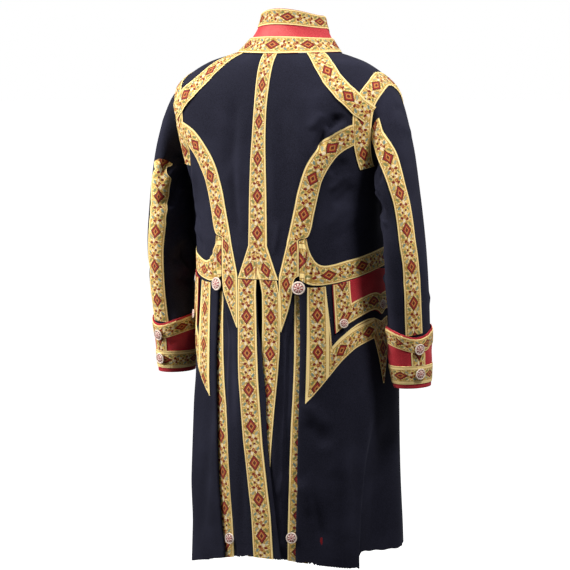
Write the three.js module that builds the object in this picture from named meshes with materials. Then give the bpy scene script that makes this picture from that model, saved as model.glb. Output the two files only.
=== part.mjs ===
import * as THREE from 'three';
import { mergeVertices } from 'three/addons/utils/BufferGeometryUtils.js';

// Livery coat. Millimetres, +Z up, the wearer faces -Y and the wearer's left is +X.
// The origin is the middle of the neck seam, where the coat hangs on the wearer.
// Angles go round the body in degrees: 0 is the centre back and +90 the wearer's left.

const clothThick = 2;
const laceThick = 1;
const seamGap = 0.3;
const laceWidth = 35;
const laceRise = 0.55;
const hipButtonRadius = 12.5;
const smallButtonRadius = 10.5;
const flapButtonRadius = 8.5;
const buttonHeight = 3;
const shankHeight = 2;

// Half sizes and heights of the body at each level, from the neck seam to the hem.
const bodyColumns = ['zBack', 'zSide', 'zFront', 'halfWidth', 'yMid', 'yBack', 'yFront', 'squareness'];
const bodyRings = {
  neck: [0, 2, -66, 99, 12, 92, -64, 2.0],
  yokeTop: [-14, -5, -84, 126, 18, 106, -76, 2.0],
  yokeMid: [-38, -17, -108, 160, 24, 118, -88, 2.1],
  yokeLow: [-70, -39, -136, 194, 30, 127, -102, 2.3],
  tip: [-106, -70, -166, 219, 34, 134, -116, 2.5],
  armhole: [-152, -126, -200, 219, 27, 139, -130, 2.6],
  armpit: [-205, -205, -234, 204, 10, 142, -145, 2.5],
  chest: [-280, -280, -287, 194, -6, 143, -155, 2.3],
  waist: [-415, -415, -415, 190, -12, 145, -158, 2.2],
  hip: [-550, -550, -550, 196, -20, 148, -172, 2.2],
  thigh: [-750, -750, -750, 201, -20, 154, -184, 2.2],
  hem: [-930, -957, -962, 207, -20, 160, -195, 2.2],
};

// Inner and outer edge of each sleeve ring, its middle and its half depth.
const sleeveColumns = ['innerX', 'innerZ', 'outerX', 'outerZ', 'yMid', 'halfDepth'];
const sleeveRings = {
  seam: [206, -226, 233, -56, 30, 58],
  capA: [207, -228, 239, -82, 36, 57],
  capB: [207, -231, 248, -125, 40, 58],
  capC: [207, -237, 259, -180, 41, 60],
  bicep: [206, -254, 268, -240, 41, 62],
  upper: [203, -300, 277, -295, 40, 60],
  elbow: [203, -363, 284, -361, 37, 59],
  fore: [206, -448, 286, -448, 26, 55],
  wrist: [210, -540, 283, -540, 11, 49],
  end: [221, -612, 279, -612, 5, 41],
};

const ringList = (rings) => Object.values(rings);
const bodyRows = ringList(bodyRings);
const sleeveRows = ringList(sleeveRings);
const bodyEnd = bodyRows.length - 1;
const sleeveEnd = sleeveRows.length - 1;

const lerp = (a, b, f) => a + (b - a) * f;
const clamp = (v, lo, hi) => Math.min(Math.max(v, lo), hi);
const rad = (degrees) => degrees * Math.PI / 180;
const smooth = (v) => { const c = clamp(v, 0, 1); return c * c * (3 - 2 * c); };

// A row between two rings, on a smooth curve through all of them.
function rowAt(rows, level) {
  const t = clamp(level, 0, rows.length - 1);
  const i = Math.min(Math.floor(t), rows.length - 2);
  const f = t - i;
  return rows[i].map((b, k) => {
    const c = rows[i + 1][k];
    const a = i > 0 ? rows[i - 1][k] : 2 * b - c;
    const d = i + 2 < rows.length ? rows[i + 2][k] : 2 * c - b;
    return 0.5 * (2 * b + (c - a) * f + (2 * a - 5 * b + 4 * c - d) * f * f
      + (3 * b - a - 3 * c + d) * f * f * f);
  });
}

// A value from a short table of [position, value] rows.
function along(table, position) {
  if (position >= table[0][0]) return table[0][1];
  for (let i = 1; i < table.length; i += 1) {
    if (position >= table[i][0]) {
      const f = (table[i - 1][0] - position) / (table[i - 1][0] - table[i][0]);
      return lerp(table[i - 1][1], table[i][1], f);
    }
  }
  return table[table.length - 1][1];
}

// How far the hem hangs above or below its ring, by angle: it is short behind the right side fold.
const hemFall = [[180, -4], [150, -12], [90, -19], [63, -20], [45, -14], [30, -9], [12, -3], [0, 0],
  [-65.5, 0], [-70, 26], [-110, 26], [-150, 10], [-180, -4]];

// Smooth body form, before folds.
function bodyPoint(angle, level) {
  const [zBack, zSide, zFront, halfWidth, yMid, yBack, yFront, n] = rowAt(bodyRows, level);
  const s = Math.sin(rad(angle));
  const c = Math.cos(rad(angle));
  const depth = c >= 0 ? yBack - yMid : yMid - yFront;
  const r = (Math.abs(s / halfWidth) ** n + Math.abs(c / depth) ** n) ** (-1 / n);
  const z = zSide + ((c >= 0 ? zBack : zFront) - zSide) * c * c;
  return new THREE.Vector3(r * s, yMid + r * c, z + along(hemFall, angle) * smooth(level - (bodyEnd - 1)));
}

function levelAt(angle, z) {
  let low = 0;
  let high = bodyEnd;
  for (let i = 0; i < 26; i += 1) {
    const mid = (low + high) / 2;
    if (bodyPoint(angle, mid).z > z) low = mid; else high = mid;
  }
  return (low + high) / 2;
}

// Shallow flutes that grow toward the hem, and the deeper fold behind each hip.
const foldStart = -470;
const fluteDepth = 3.5;
const sideFoldDepth = 34;
const sideFoldAngle = [[-600, 70], [-693, 68.2], [-747, 65.9], [-832, 62.9], [-930, 60.6]];
const sideFoldWidth = 40;

function folds(angle, z) {
  const fall = smooth((foldStart - z) / 400);
  const around = Math.abs(angle);
  const flute = fluteDepth * fall * Math.sin(rad(around * 9 + 20)) * smooth((around - 40) / 20);
  const across = (around - along(sideFoldAngle, z)) / sideFoldWidth;
  let pocket = 0;
  if (across > 0 && across < 1) pocket = smooth(across / 0.28) * smooth((1 - across) / 0.62);
  return flute * (1 - pocket) - sideFoldDepth * pocket * smooth((-610 - z) / 260);
}

function coatSurface(dip) {
  return (angle, level) => {
    const p = bodyPoint(angle, level);
    const push = folds(angle, p.z) + (dip ? dip(angle, p.z) : 0);
    p.x += push * Math.sin(rad(angle));
    p.y += push * Math.cos(rad(angle));
    return p;
  };
}

// Fold edge of each skirt over its pleat, and the free edges of the centre-back vent.
const ventTop = -412;
const waistSide = 26.5;
const pleatFold = {
  left: [[-412, 32.2], [-608, 32.6], [-677, 31.5], [-748, 29.9], [-817, 27.7], [-888, 24.4], [-930, 21.6]],
  right: [[-412, 29], [-578, 28.2], [-742, 26.8], [-930, 25.6]],
};
const ventEdge = {
  left: [[-412, 0.1], [-418, 1.2], [-581, -0.8], [-722, -5], [-930, -14.2]],
  right: [[-412, 0.1], [-418, 3.4], [-522, 3.2], [-581, 1.9], [-626, 0.8], [-700, -1.5], [-799, -3.2],
    [-930, -5.2]],
};
// The left panel's plain margin beyond its lace, which laps over the right vent lace.
const ventMargin = [[-418, 0], [-500, 0.6], [-522, 1.8], [-560, 3.2], [-626, 4.2], [-692, 3.1], [-760, 2.9],
  [-930, 2.6]];
const layerStep = 8.8;
const lapStep = 4.4;
const underTurn = 13;

// Where the back panel steps in to pass under the skirt, in degrees.
function dipSpan(fold, z) {
  const open = smooth((-414 - z) / 120);
  return [fold - lerp(3.4, 11.5, open), fold - lerp(0.6, 7, open)];
}

function backDip(side) {
  const table = side > 0 ? pleatFold.left : pleatFold.right;
  return (angle, z) => {
    if (z > ventTop + 1) return 0;
    const [start, end] = dipSpan(along(table, z), z);
    const pleat = smooth((angle * side - start) / (end - start));
    const lap = side < 0 ? lapStep * smooth((-412 - z) / 110) : 0;
    return -Math.max(lap, layerStep * pleat);
  };
}

const surfaces = {
  coat: coatSurface(null),
  backLeft: coatSurface(backDip(1)),
  backRight: coatSurface(backDip(-1)),
};

function normalOf(surface, u, v, du, dv) {
  const along1 = surface(u + du, v).sub(surface(u - du, v));
  const along2 = surface(u, v + dv).sub(surface(u, v - dv));
  return along1.cross(along2).normalize();
}

// A point lifted off a surface. The body's outward side is down the ring list, round the back.
function lifted(surface, u, v, lift, last) {
  const inside = clamp(v, 0.02, last - 0.02);
  const n = normalOf(surface, u, inside, 0.4, 0.015);
  const p = surface(u, v);
  const centre = surface.centre ? surface.centre(v) : new THREE.Vector3(0, 0, p.z - 60);
  if (n.dot(p.clone().sub(centre)) < 0) n.negate();
  return p.addScaledVector(n, lift);
}

// Closed wall between an outer and an inner grid of points, in rows of equal length.
function wall(name, outer, inner, material, ring = false) {
  const rows = outer.length;
  const cols = outer[0].length;
  const points = [...outer.flat(), ...inner.flat()];
  const id = (layer, i, j) => layer * rows * cols + i * cols + (ring ? j % cols : j);
  const faces = [];
  const quad = (a, b, c, d) => {
    const shortFirst = points[a].distanceTo(points[c]) <= points[b].distanceTo(points[d]);
    if (shortFirst) faces.push([a, b, c], [a, c, d]); else faces.push([a, b, d], [b, c, d]);
  };
  const lastCol = ring ? cols : cols - 1;
  for (let i = 0; i < rows - 1; i += 1) {
    for (let j = 0; j < lastCol; j += 1) {
      quad(id(0, i, j), id(0, i + 1, j), id(0, i + 1, j + 1), id(0, i, j + 1));
      quad(id(1, i, j), id(1, i, j + 1), id(1, i + 1, j + 1), id(1, i + 1, j));
    }
  }
  for (let j = 0; j < lastCol; j += 1) {
    quad(id(0, 0, j), id(0, 0, j + 1), id(1, 0, j + 1), id(1, 0, j));
    quad(id(0, rows - 1, j + 1), id(0, rows - 1, j), id(1, rows - 1, j), id(1, rows - 1, j + 1));
  }
  if (!ring) {
    for (let i = 0; i < rows - 1; i += 1) {
      quad(id(0, i + 1, 0), id(0, i, 0), id(1, i, 0), id(1, i + 1, 0));
      quad(id(0, i, cols - 1), id(0, i + 1, cols - 1), id(1, i + 1, cols - 1), id(1, i, cols - 1));
    }
  }
  return meshOf(name, points, faces, material);
}

// Wall of one thickness about a grid of middle points, square to the grid itself.
function foldedWall(name, grid, thick, material) {
  const rows = grid.length;
  const cols = grid[0].length;
  const at = (i, j) => grid[clamp(i, 0, rows - 1)][clamp(j, 0, cols - 1)];
  const layer = (way) => grid.map((row, i) => row.map((p, j) => {
    const across = at(i, j + 1).clone().sub(at(i, j - 1));
    const down = at(i + 1, j).clone().sub(at(i - 1, j));
    return p.clone().addScaledVector(down.cross(across).normalize(), thick * way / 2);
  }));
  return wall(name, layer(1), layer(-1), material);
}

function meshOf(name, points, faces, material) {
  const position = [];
  faces.forEach((face) => face.forEach((k) => position.push(...points[k].toArray())));
  let volume = 0;
  faces.forEach(([a, b, c]) => {
    volume += points[a].dot(points[b].clone().cross(points[c])) / 6;
  });
  if (volume < 0) {
    for (let k = 0; k < position.length; k += 9) {
      for (let m = 0; m < 3; m += 1) {
        const swap = position[k + 3 + m];
        position[k + 3 + m] = position[k + 6 + m];
        position[k + 6 + m] = swap;
      }
    }
  }
  let geometry = new THREE.BufferGeometry();
  geometry.setAttribute('position', new THREE.Float32BufferAttribute(position, 3));
  geometry = mergeVertices(geometry, 1e-4);
  geometry.computeVertexNormals();
  const mesh = new THREE.Mesh(geometry, material());
  mesh.name = name;
  return mesh;
}

const colour = (hex, roughness, metalness = 0) => () => (
  new THREE.MeshStandardMaterial({ color: hex, roughness, metalness }));
const navyWool = colour('#22232f', 0.9);
const redWool = colour('#a8283a', 0.9);
const livery = colour('#d2b262', 0.8);
const redBone = colour('#c98a86', 0.5);

const group = new THREE.Group();
group.name = 'livery_coat';
const add = (mesh) => { group.add(mesh); return mesh; };

// Resamples a list of rows so that it has the wanted number of steps, by equal row steps.
function resample(rows, count) {
  const out = [];
  for (let i = 0; i <= count; i += 1) {
    out.push(rowAt(rows, i * (rows.length - 1) / count));
  }
  return out;
}

// Divides each step between rows in equal parts, on straight lines.
function divide(rows, parts) {
  const out = [rows[0]];
  for (let i = 1; i < rows.length; i += 1) {
    const n = Array.isArray(parts) ? parts[i - 1] : parts;
    for (let k = 1; k <= n; k += 1) {
      out.push(rows[i].map((v, m) => lerp(rows[i - 1][m], v, k / n)));
    }
  }
  return out;
}

const levelOf = (angle, z) => (z > 5 ? 0 : levelAt(angle, z));
const toLevels = (rows, side) => rows.map(([angleA, zA, angleB, zB]) => (
  [angleA, levelOf(angleA * side, zA), angleB, levelOf(angleB * side, zB)]));

// Wall on a surface between two edges: each row holds [angle, level] of one and of the other.
function wallBetween(name, side, rows, cols, surface, material, lift, thick, last = bodyEnd) {
  const layer = (height) => rows.map(([angleA, levelA, angleB, levelB]) => cols.map((f) => (
    lifted(surface, lerp(angleA, angleB, f) * side, lerp(levelA, levelB, f), height, last))));
  return add(wall(name, layer(lift), layer(lift - thick), material));
}

const steps = (count) => Array.from({ length: count + 1 }, (_, i) => i / count);

// Back panels. The outer edge follows the shoulder seam, the armhole and the side-back seam.
const shoulderSeam = [[57, 6], [57.6, -20], [60, -44], [64, -68], [70, -101]];
const sideBackSeam = [[66, -147], [55, -167], [46, -197], [39, -241], [32, -300], [28, -355],
  [waistSide, -405]];
const centreZ = [6, -18, -42, -68, -100, -125, -150, -172, -195, -228, -268, -315, -362, -409.5];
const backOuter = [...shoulderSeam, [72.4, -117], [72.6, -143], ...sideBackSeam];

const upperColumns = [0, 0.16, 0.32, 0.48, 0.62, 0.75, 0.86, 0.93, 0.965, 0.985, 1];

function backPanel(name, side) {
  const surface = side > 0 ? surfaces.backLeft : surfaces.backRight;
  const fold = side > 0 ? pleatFold.left : pleatFold.right;
  const edge = side > 0 ? ventEdge.left : ventEdge.right;
  const upper = toLevels(backOuter.map(([angle, z], i) => [0.1, centreZ[i], angle - 0.12, z]), side)
    .map(([angleA, levelA, angleB, levelB]) => upperColumns.map((f) => (
      [lerp(angleA, angleB, f), lerp(levelA, levelB, f)])));
  const lower = [-412, -420, -440, -480, -510, -540, -575, -610, -650, -690, -770, -850, -999].map((z) => {
    const from = along(edge, Math.max(z, -930)) - (side > 0 ? along(ventMargin, z) : 0);
    const [start, end] = dipSpan(along(fold, z), z);
    const angles = [0, 0.2, 0.4, 0.6, 0.8, 1].map((f) => lerp(from, start, f));
    const reach = (along(fold, z) + underTurn - end) * smooth((-408 - z) / 34) + 1;
    angles.push((start + end) / 2, end, end + reach * 0.3, end + reach * 0.65, end + reach);
    return angles.map((angle) => [angle, levelAt(angle * side, z)]);
  });
  const layer = (height) => [...upper, ...lower].map((row) => row.map(([angle, level]) => (
    lifted(surface, angle * side, level, height, bodyEnd))));
  return add(wall(name, layer(0), layer(-clothThick), navyWool));
}
backPanel('back_left', 1);
backPanel('back_right', -1);

// Foreparts. Each row joins a point on the armhole to one on the panel's outline.
const forepartColumns = ['armAngle', 'armZ', 'outAngle', 'outZ'];
const waistSeam = (angle) => {
  const table = [[-27, -409.5], [-40, -406], [-59, -392], [-85, -371], [-110, -360], [-180, -356]];
  return along(table, -Math.abs(angle));
};
const frontEdge = 178.6;
const forepartRows = [
  [72.6, -111, 70, -101],
  [76, -88, 64, -68],
  [81, -70, 60, -44],
  [86, -60, 57.6, -20],
  [91, -55.5, 57, 6],
  [94, -57, 71, 6],
  [97, -61, 85, 6],
  [100, -68, 100, 6],
  [103, -77, 116, 6],
  [106, -90, 132, 6],
  [109, -104, 148, 6],
  [111, -119, 164, 6],
  [113, -134, frontEdge, 6],
  [114, -148, frontEdge, -115],
  [114, -163, frontEdge, -160],
  [113, -176, frontEdge, -200],
  [111, -189, frontEdge, -238],
  [108.5, -199, frontEdge, -290],
  [106, -207, frontEdge, -356],
  [102.5, -215, 164, -356.7],
  [99, -220.5, 148, -357.5],
  [95.5, -224, 130, -358.6],
  [92, -225.8, 113, -359.8],
  [88.6, -225, 96, -365.8],
  [85.5, -222, 79, -375.8],
  [82.6, -217.5, 64, -388],
  [80.2, -212, 50, -398.5],
  [78.2, -206.5, 38, -406.4],
  [77, -202, waistSide, -405],
  [76, -197, 28, -355],
  [75.1, -190, 32, -300],
  [74.4, -182, 39, -241],
  [73.8, -172, 46, -197],
  [73.3, -161, 55, -167],
  [73, -150.5, 66, -147],
];

// The forepart stands clear of the back by the seam gap, on the outer side of each seam.
function forepart(name, side) {
  const rows = forepartRows.map(([armAngle, armZ, outAngle, outZ], i) => {
    const seam = i < 4 || i > 27 ? 0.12 : 0;
    return [armAngle, armZ, outAngle + seam, outZ];
  });
  wallBetween(name, side, toLevels(rows, side), steps(6), surfaces.coat, navyWool, 0, clothThick);
}
forepart('front_left', 1);
forepart('front_right', -1);

// Skirts. The back edge is turned under at the pleat fold; the first columns lie beneath.
const frontFall = [[-356, 178.6], [-560, 177], [-962, 171]];
const skirtAngles = [0.8, 6, 12, 18, 24, 28, 31, 34, 37, 41, 46, 52, 58, 64, 72, 84, 98, 112, 126, 140];
const foldRows = [0, 0.04, 0.12, 0.22, 0.34, 0.46, 0.58, 0.7, 0.8, 0.9, 1];
const turnColumns = [[12, 4.4], [6, 4.4], [1.4, 4.1], [0, 2.2]];
const waistGap = 1.5;

function skirt(name, side) {
  const fold = side > 0 ? pleatFold.left : pleatFold.right;
  const grid = foldRows.map((v) => {
    const zGuess = lerp(-409, -945, v);
    const foldAngle = along(fold, zGuess);
    const last = along(frontFall, zGuess);
    const place = (angle, drop) => {
      const top = levelAt(angle, waistSeam(angle) - waistGap);
      const level = lerp(top, bodyEnd, v);
      return lifted(surfaces.coat, angle * side, level, -clothThick / 2 - drop, bodyEnd);
    };
    const under = turnColumns.map(([over, drop]) => place(foldAngle + over, drop));
    const over = skirtAngles.map((step) => place(foldAngle + step, 0));
    const edge = [(foldAngle + 140 + last) / 2, last].map((angle) => place(angle, 0));
    return [...under, ...over, ...edge];
  });
  return add(foldedWall(name, grid, clothThick, navyWool));
}
skirt('skirt_left', 1);
skirt('skirt_right', -1);

// Armhole loop by sleeve angle: 0 is the back, 90 the top, 180 the front and 270 underneath.
const armholeColumns = ['sleeveAngle', 'bodyAngle', 'z'];
const armhole = [
  [0, 73.9, -150], [30, 75.8, -99], [60, 82.6, -69.5], [90, 91, -59.5], [120, 100.6, -75.5],
  [150, 109.6, -112], [180, 113.2, -160], [210, 109.6, -192], [240, 101.5, -215], [270, 91.5, -223.5],
  [300, 82.6, -215], [330, 76.4, -195], [360, 73.6, -150],
];

function armholeSpot(side, sleeveAngle) {
  const a = ((sleeveAngle % 360) + 360) % 360;
  const i = Math.min(Math.floor(a / 30), armhole.length - 2);
  const wrapRow = (k) => {
    const n = armhole.length - 1;
    return armhole[((k % n) + n) % n].slice(1);
  };
  const rows = [wrapRow(i - 1), wrapRow(i), wrapRow(i + 1), wrapRow(i + 2)];
  const [angle, z] = rowAt(rows, 1 + (a - 30 * i) / 30);
  return [angle, levelAt(side * angle, z)];
}

function armholePoint(side, sleeveAngle) {
  const [angle, level] = armholeSpot(side, sleeveAngle);
  return bodyPoint(side * angle, level);
}

function sleevePoint(side, sleeveAngle, level) {
  const ring = (t) => {
    const [innerX, innerZ, outerX, outerZ, yMid, halfDepth] = rowAt(sleeveRows, t);
    const s = Math.sin(rad(sleeveAngle));
    const c = Math.cos(rad(sleeveAngle));
    return new THREE.Vector3(side * (lerp(innerX, outerX, (1 + s) / 2)), yMid + halfDepth * c,
      lerp(innerZ, outerZ, (1 + s) / 2));
  };
  const p = ring(level);
  if (level < 3) {
    const pull = (1 - level / 3) ** 2;
    p.addScaledVector(armholePoint(side, sleeveAngle).sub(ring(0)), pull);
  }
  return p;
}

// The elbow breaks the sleeve into a few soft creases.
const creaseDepth = 1.6;
function sleeveSurface(side) {
  const surface = (sleeveAngle, level) => {
    const p = sleevePoint(side, sleeveAngle, level);
    const crease = creaseDepth * Math.sin(p.z / 17 + sleeveAngle / 40)
      * smooth((-280 - p.z) / 60) * smooth((p.z + 470) / 60);
    const inward = Math.max(Math.cos(rad(sleeveAngle - 240)), 0);
    p.x += side * crease * inward * Math.sin(rad(sleeveAngle));
    p.y += crease * inward * Math.cos(rad(sleeveAngle));
    return p;
  };
  surface.centre = (level) => {
    const [innerX, innerZ, outerX, outerZ, yMid] = rowAt(sleeveRows, Math.max(level, 0.02));
    return new THREE.Vector3(side * (innerX + outerX) / 2, yMid, (innerZ + outerZ) / 2);
  };
  return surface;
}
const sleeves = { left: sleeveSurface(1), right: sleeveSurface(-1) };

function tube(name, surface, levels, count, lift, thick, material) {
  const layer = (height) => levels.map((level) => Array.from({ length: count }, (_, j) => (
    lifted(surface, j * 360 / count, level, height, sleeveEnd))));
  return add(wall(name, layer(lift), layer(lift - thick), material, true));
}
const sleeveLevels = [0, 0.6, 1.2, 1.9, 2.6, 3.4, 4.2, 5, 5.7, 6.4, 7.2, 8, 8.9];
tube('sleeve_left', sleeves.left, sleeveLevels, 16, 0, clothThick, navyWool);
tube('sleeve_right', sleeves.right, sleeveLevels, 16, 0, clothThick, navyWool);

// Turned-back cuffs stand a little off the sleeve, with two bands of lace and an upright strip.
const cuffRise = 3.8;
const cuffRows = { foot: 9, lowEnd: 8.88, lowStart: 8.39, highEnd: 8.06, highStart: 7.765, top: 7.73 };
const sleeveLaceAngle = { left: 12, right: 52 };
const stripHalfAngle = 19;
const laceLift = laceRise + laceThick;
for (const [word, surface] of Object.entries(sleeves)) {
  const { foot, lowEnd, lowStart, highEnd, highStart, top } = cuffRows;
  tube(`cuff_${word}`, surface, [top, 8.06, 8.4, foot], 20, cuffRise, clothThick, redWool);
  const rise = cuffRise + laceLift;
  tube(`lace_cuff_top_${word}`, surface, [highStart, highEnd], 20, rise, laceThick, livery);
  tube(`lace_cuff_foot_${word}`, surface, [lowStart, lowEnd], 20, rise, laceThick, livery);
  const middle = sleeveLaceAngle[word];
  const strip = [highEnd + 0.005, lowStart - 0.005].map((level) => (
    [middle - stripHalfAngle, level, middle + stripHalfAngle, level]));
  wallBetween(`lace_cuff_strip_${word}`, 1, strip, steps(4), surface, livery, rise, laceThick, sleeveEnd);
}

// Stand collar, leaning in to the neck and open at the throat.
const collarEnd = 171;
const collarTop = { halfWidth: 60, yMid: -5, yBack: 58, yFront: -66, zBack: 83, zSide: 70, zFront: -8 };
function collarPoint(angle, level) {
  const base = bodyPoint(angle, 0);
  const s = Math.sin(rad(angle));
  const c = Math.cos(rad(angle));
  const depth = c >= 0 ? collarTop.yBack - collarTop.yMid : collarTop.yMid - collarTop.yFront;
  const r = ((s / collarTop.halfWidth) ** 2 + (c / depth) ** 2) ** -0.5;
  const zTop = collarTop.zSide + ((c >= 0 ? collarTop.zBack : collarTop.zFront) - collarTop.zSide) * c * c;
  const lean = 1 - (1 - level) ** 1.7;
  return new THREE.Vector3(lerp(base.x, r * s, lean), lerp(base.y, collarTop.yMid + r * c, lean),
    lerp(base.z + 0.5, zTop, level));
}
const collarCentre = new THREE.Vector3(0, 10, 20);
collarPoint.centre = () => collarCentre;
function collarWall(name, from, to, rowCount, lift, thick, material) {
  const rows = steps(rowCount).map((v) => [-collarEnd, lerp(from, to, v), collarEnd, lerp(from, to, v)]);
  return wallBetween(name, 1, rows, steps(24), collarPoint, material, lift, thick, 1);
}
collarWall('collar', 0.02, 1, 5, 0, clothThick, redWool);
collarWall('lace_collar_base', 0.03, 0.36, 2, laceLift + 0.35, laceThick, livery);
collarWall('lace_collar_top', 0.64, 0.99, 2, laceLift + 0.35, laceThick, livery);

// Lace between two edges, each row [angle, z] of one edge and [angle, z] of the other.
function laceBetween(name, side, rows, parts, across, surface = surfaces.coat, lift = laceLift) {
  return wallBetween(name, side, toLevels(divide(rows, parts), side), steps(across), surface, livery,
    lift, laceThick);
}

// Rows of two edges at set distances to each side of a line of [angle, level] points.
function edgesBeside(line, widthOne, widthTwo, surface, side) {
  const spot = (angle, level) => surface(angle * side, Math.max(level, 0));
  return line.map(([angle, level], i) => {
    const before = line[Math.max(i - 1, 0)];
    const after = line[Math.min(i + 1, line.length - 1)];
    const run = spot(...after).sub(spot(...before));
    const safe = Math.max(level, 0.06);
    const perAngle = spot(angle + 0.5, safe).sub(spot(angle - 0.5, safe));
    const perLevel = spot(angle, safe + 0.05).sub(spot(angle, safe - 0.05)).multiplyScalar(10);
    const across = run.cross(perAngle.clone().cross(perLevel)).normalize();
    const aa = perAngle.dot(perAngle);
    const ab = perAngle.dot(perLevel);
    const bb = perLevel.dot(perLevel);
    const pa = across.dot(perAngle);
    const pb = across.dot(perLevel);
    const det = aa * bb - ab * ab;
    const stepAngle = (pa * bb - pb * ab) / det;
    const stepLevel = (pb * aa - pa * ab) / det;
    return [angle + stepAngle * widthOne, Math.max(level + stepLevel * widthOne, 0),
      angle - stepAngle * widthTwo, Math.max(level - stepLevel * widthTwo, 0)];
  });
}

// Centre back: parallel lace that opens to a fan above the waist.
laceBetween('lace_centre_back', 1, [
  [-10.2, 6, 10.2, 6], [-9.0, -18, 9.0, -18], [-8.3, -42, 8.3, -42], [-7.5, -90, 7.5, -90],
  [-7.1, -150, 7.1, -150], [-6.9, -220, 6.9, -220], [-6.9, -290, 6.9, -290], [-7.1, -352, 7.1, -352],
  [-15.1, -413.5, 15.1, -413.5],
], [1, 1, 2, 2, 2, 2, 2, 2], 4);

// Vent laces follow the free edges of the vent.
const ventHeights = [-414.8, -440, -480, -540, -600, -660, -722, -780, -850, -999];
const ventRows = (edge, widths) => ventHeights.map((z) => {
  const inner = along(edge, Math.max(z, -930)) + 0.15;
  return [inner, z, inner + along(widths, z), z];
});
laceBetween('lace_vent_left', 1, ventRows(ventEdge.left, [[-416, 14], [-924, 12.4]]), 1, 3,
  surfaces.backLeft);
laceBetween('lace_vent_right', -1, ventRows(ventEdge.right, [[-416, 12.2], [-924, 12]]), 1, 3,
  surfaces.backRight);

// Side-back laces: down the curved seam, widening at the waist to a point below it.
const sideBackRows = [
  [70.5, -125, 70.5, -160], [66, -127, 66, -163], [56, -143, 56, -184], [46, -172, 46.5, -224],
  [37, -205, 42.5, -252], [30, -248, 38.7, -292], [26.5, -283, 36.8, -318], [23.2, -321, 34.3, -334],
  [21.6, -340, 29, -339.5], [20.5, -355, 28.9, -354], [16, -404, 28.7, -405],
];
const sideBackPoint = {
  left: [[15.6, -413.5, 28.4, -413], [15.4, -440, 26.6, -441], [14.9, -475, 20.2, -476],
    [14.4, -505, 15, -505.5]],
  right: [[15.6, -413.5, 25.6, -413], [15.7, -440, 24, -441], [15.7, -475, 20.6, -476],
    [15.7, -509, 16.3, -509.5]],
};

// Waist lace, with a mitre at its back end, from the side-back lace to the front edge.
const waistLaceRows = [
  [29.2, -341, 29.2, -411.5], [31.6, -338.5, 30.6, -414.5], [33.9, -336.5, 32.2, -417],
  [34.6, -350, 33.8, -419], [35.9, -362, 35.4, -420.8], [37.7, -373, 37.6, -421.8],
  [40.5, -382.5, 40.5, -422], [44.6, -386, 44.6, -420.8], [50, -383.5, 50, -418.3],
  [54, -380, 54, -415.6], [59, -376, 59, -411.8], [64.6, -372.3, 64.6, -407.6], [72, -366, 72, -401.3],
  [85, -356.5, 85, -391.5], [98, -350.5, 98, -385.5], [110, -347, 110, -382], [140, -344.5, 140, -379.5],
  [178.2, -343.5, 178.2, -378.5],
];

// Shoulder laces run down the shoulder seam and pass under the armhole laces.
const shoulderLine = [[57, 6], [57.6, -20], [60, -44], [64, -68], [69, -95]];
// Armhole laces lie along the body's edge of the armhole, by sleeve angle.
const armholeRun = [142, 133, 125, 116, 108, 99, 90, 82, 75, 67, 60, 52, 45, 37, 30, 22, 15, 7, 0, -8, -15, -24];

// Pleat laces are half hidden under the skirt's folded edge.
const pleatInner = {
  left: [[-430, 30.5], [-520, 29.4], [-606, 27.2], [-674, 23.8], [-745, 21.2], [-813, 18.6], [-885, 16.8],
    [-925, 14.8]],
  right: [[-430, 25.4], [-596, 24.2], [-660, 22.8], [-780, 21.5], [-925, 20.5]],
};
const pleatLaceAngle = 12.2;
const pleatHeights = [-452, -500, -560, -620, -680, -750, -820, -870, -999];

// Pocket lace: an upright at each end and one in the middle, joined by curves. Half of it.
const pocketMiddle = 80;
const pocketRows = [
  [33.7, -426, 31, -640], [36.5, -426, 35, -627], [40, -426, 41, -604], [44.6, -424, 47, -580],
  [45.1, -540, 48.2, -575], [50.7, -521, 53, -558], [59.4, -500, 60, -540], [68, -488, 67, -530],
  [74, -486, 73.2, -524], [76.8, -489, 76.8, -566], [79.4, -493, 79.6, -610],
];
const flapRows = [
  [48.5, -421, 48.5, -511], [53, -418.6, 53, -500], [59, -413.6, 59, -489], [65, -408.7, 65, -480],
  [71, -403.3, 71, -473], [75, -399.8, 75, -471.5], [77.5, -397.8, 77.5, -475], [79.6, -395.8, 79.6, -481],
];
const flapLaceRows = [
  [48.9, -421.5, 58.6, -414.6], [48.9, -450, 58.7, -440], [48.9, -510, 59, -456], [53, -499.4, 61, -452.5],
  [59, -488.4, 63.6, -449], [65, -479.4, 67.2, -445], [71, -472.4, 71.6, -440.5],
  [75, -471, 75.3, -439], [77.5, -474.4, 77.8, -440.5], [79.6, -480.4, 79.6, -443],
];
const pocketShift = { left: 6, right: 0 };
const flapRise = 3.2;

// The other half of a row list, turned about the pocket's middle.
function bothHalves(rows, shift, fall) {
  const turned = [...rows].reverse().map(([angleA, zA, angleB, zB]) => (
    [2 * pocketMiddle - angleA, zA + fall(angleA), 2 * pocketMiddle - angleB, zB]));
  return [...rows, ...turned].map(([angleA, zA, angleB, zB]) => [angleA + shift, zA, angleB + shift, zB]);
}

const sleeveLacePath = {
  left: [[9, 2.3], [10, 3], [12, 4], [12, 5], [12, 6], [12, 7], [12, 7.68]],
  right: [[14, 0.5], [20, 1], [32, 2], [42, 3], [49, 4], [52, 5], [52, 6], [52, 7], [52, 7.68]],
};

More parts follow.
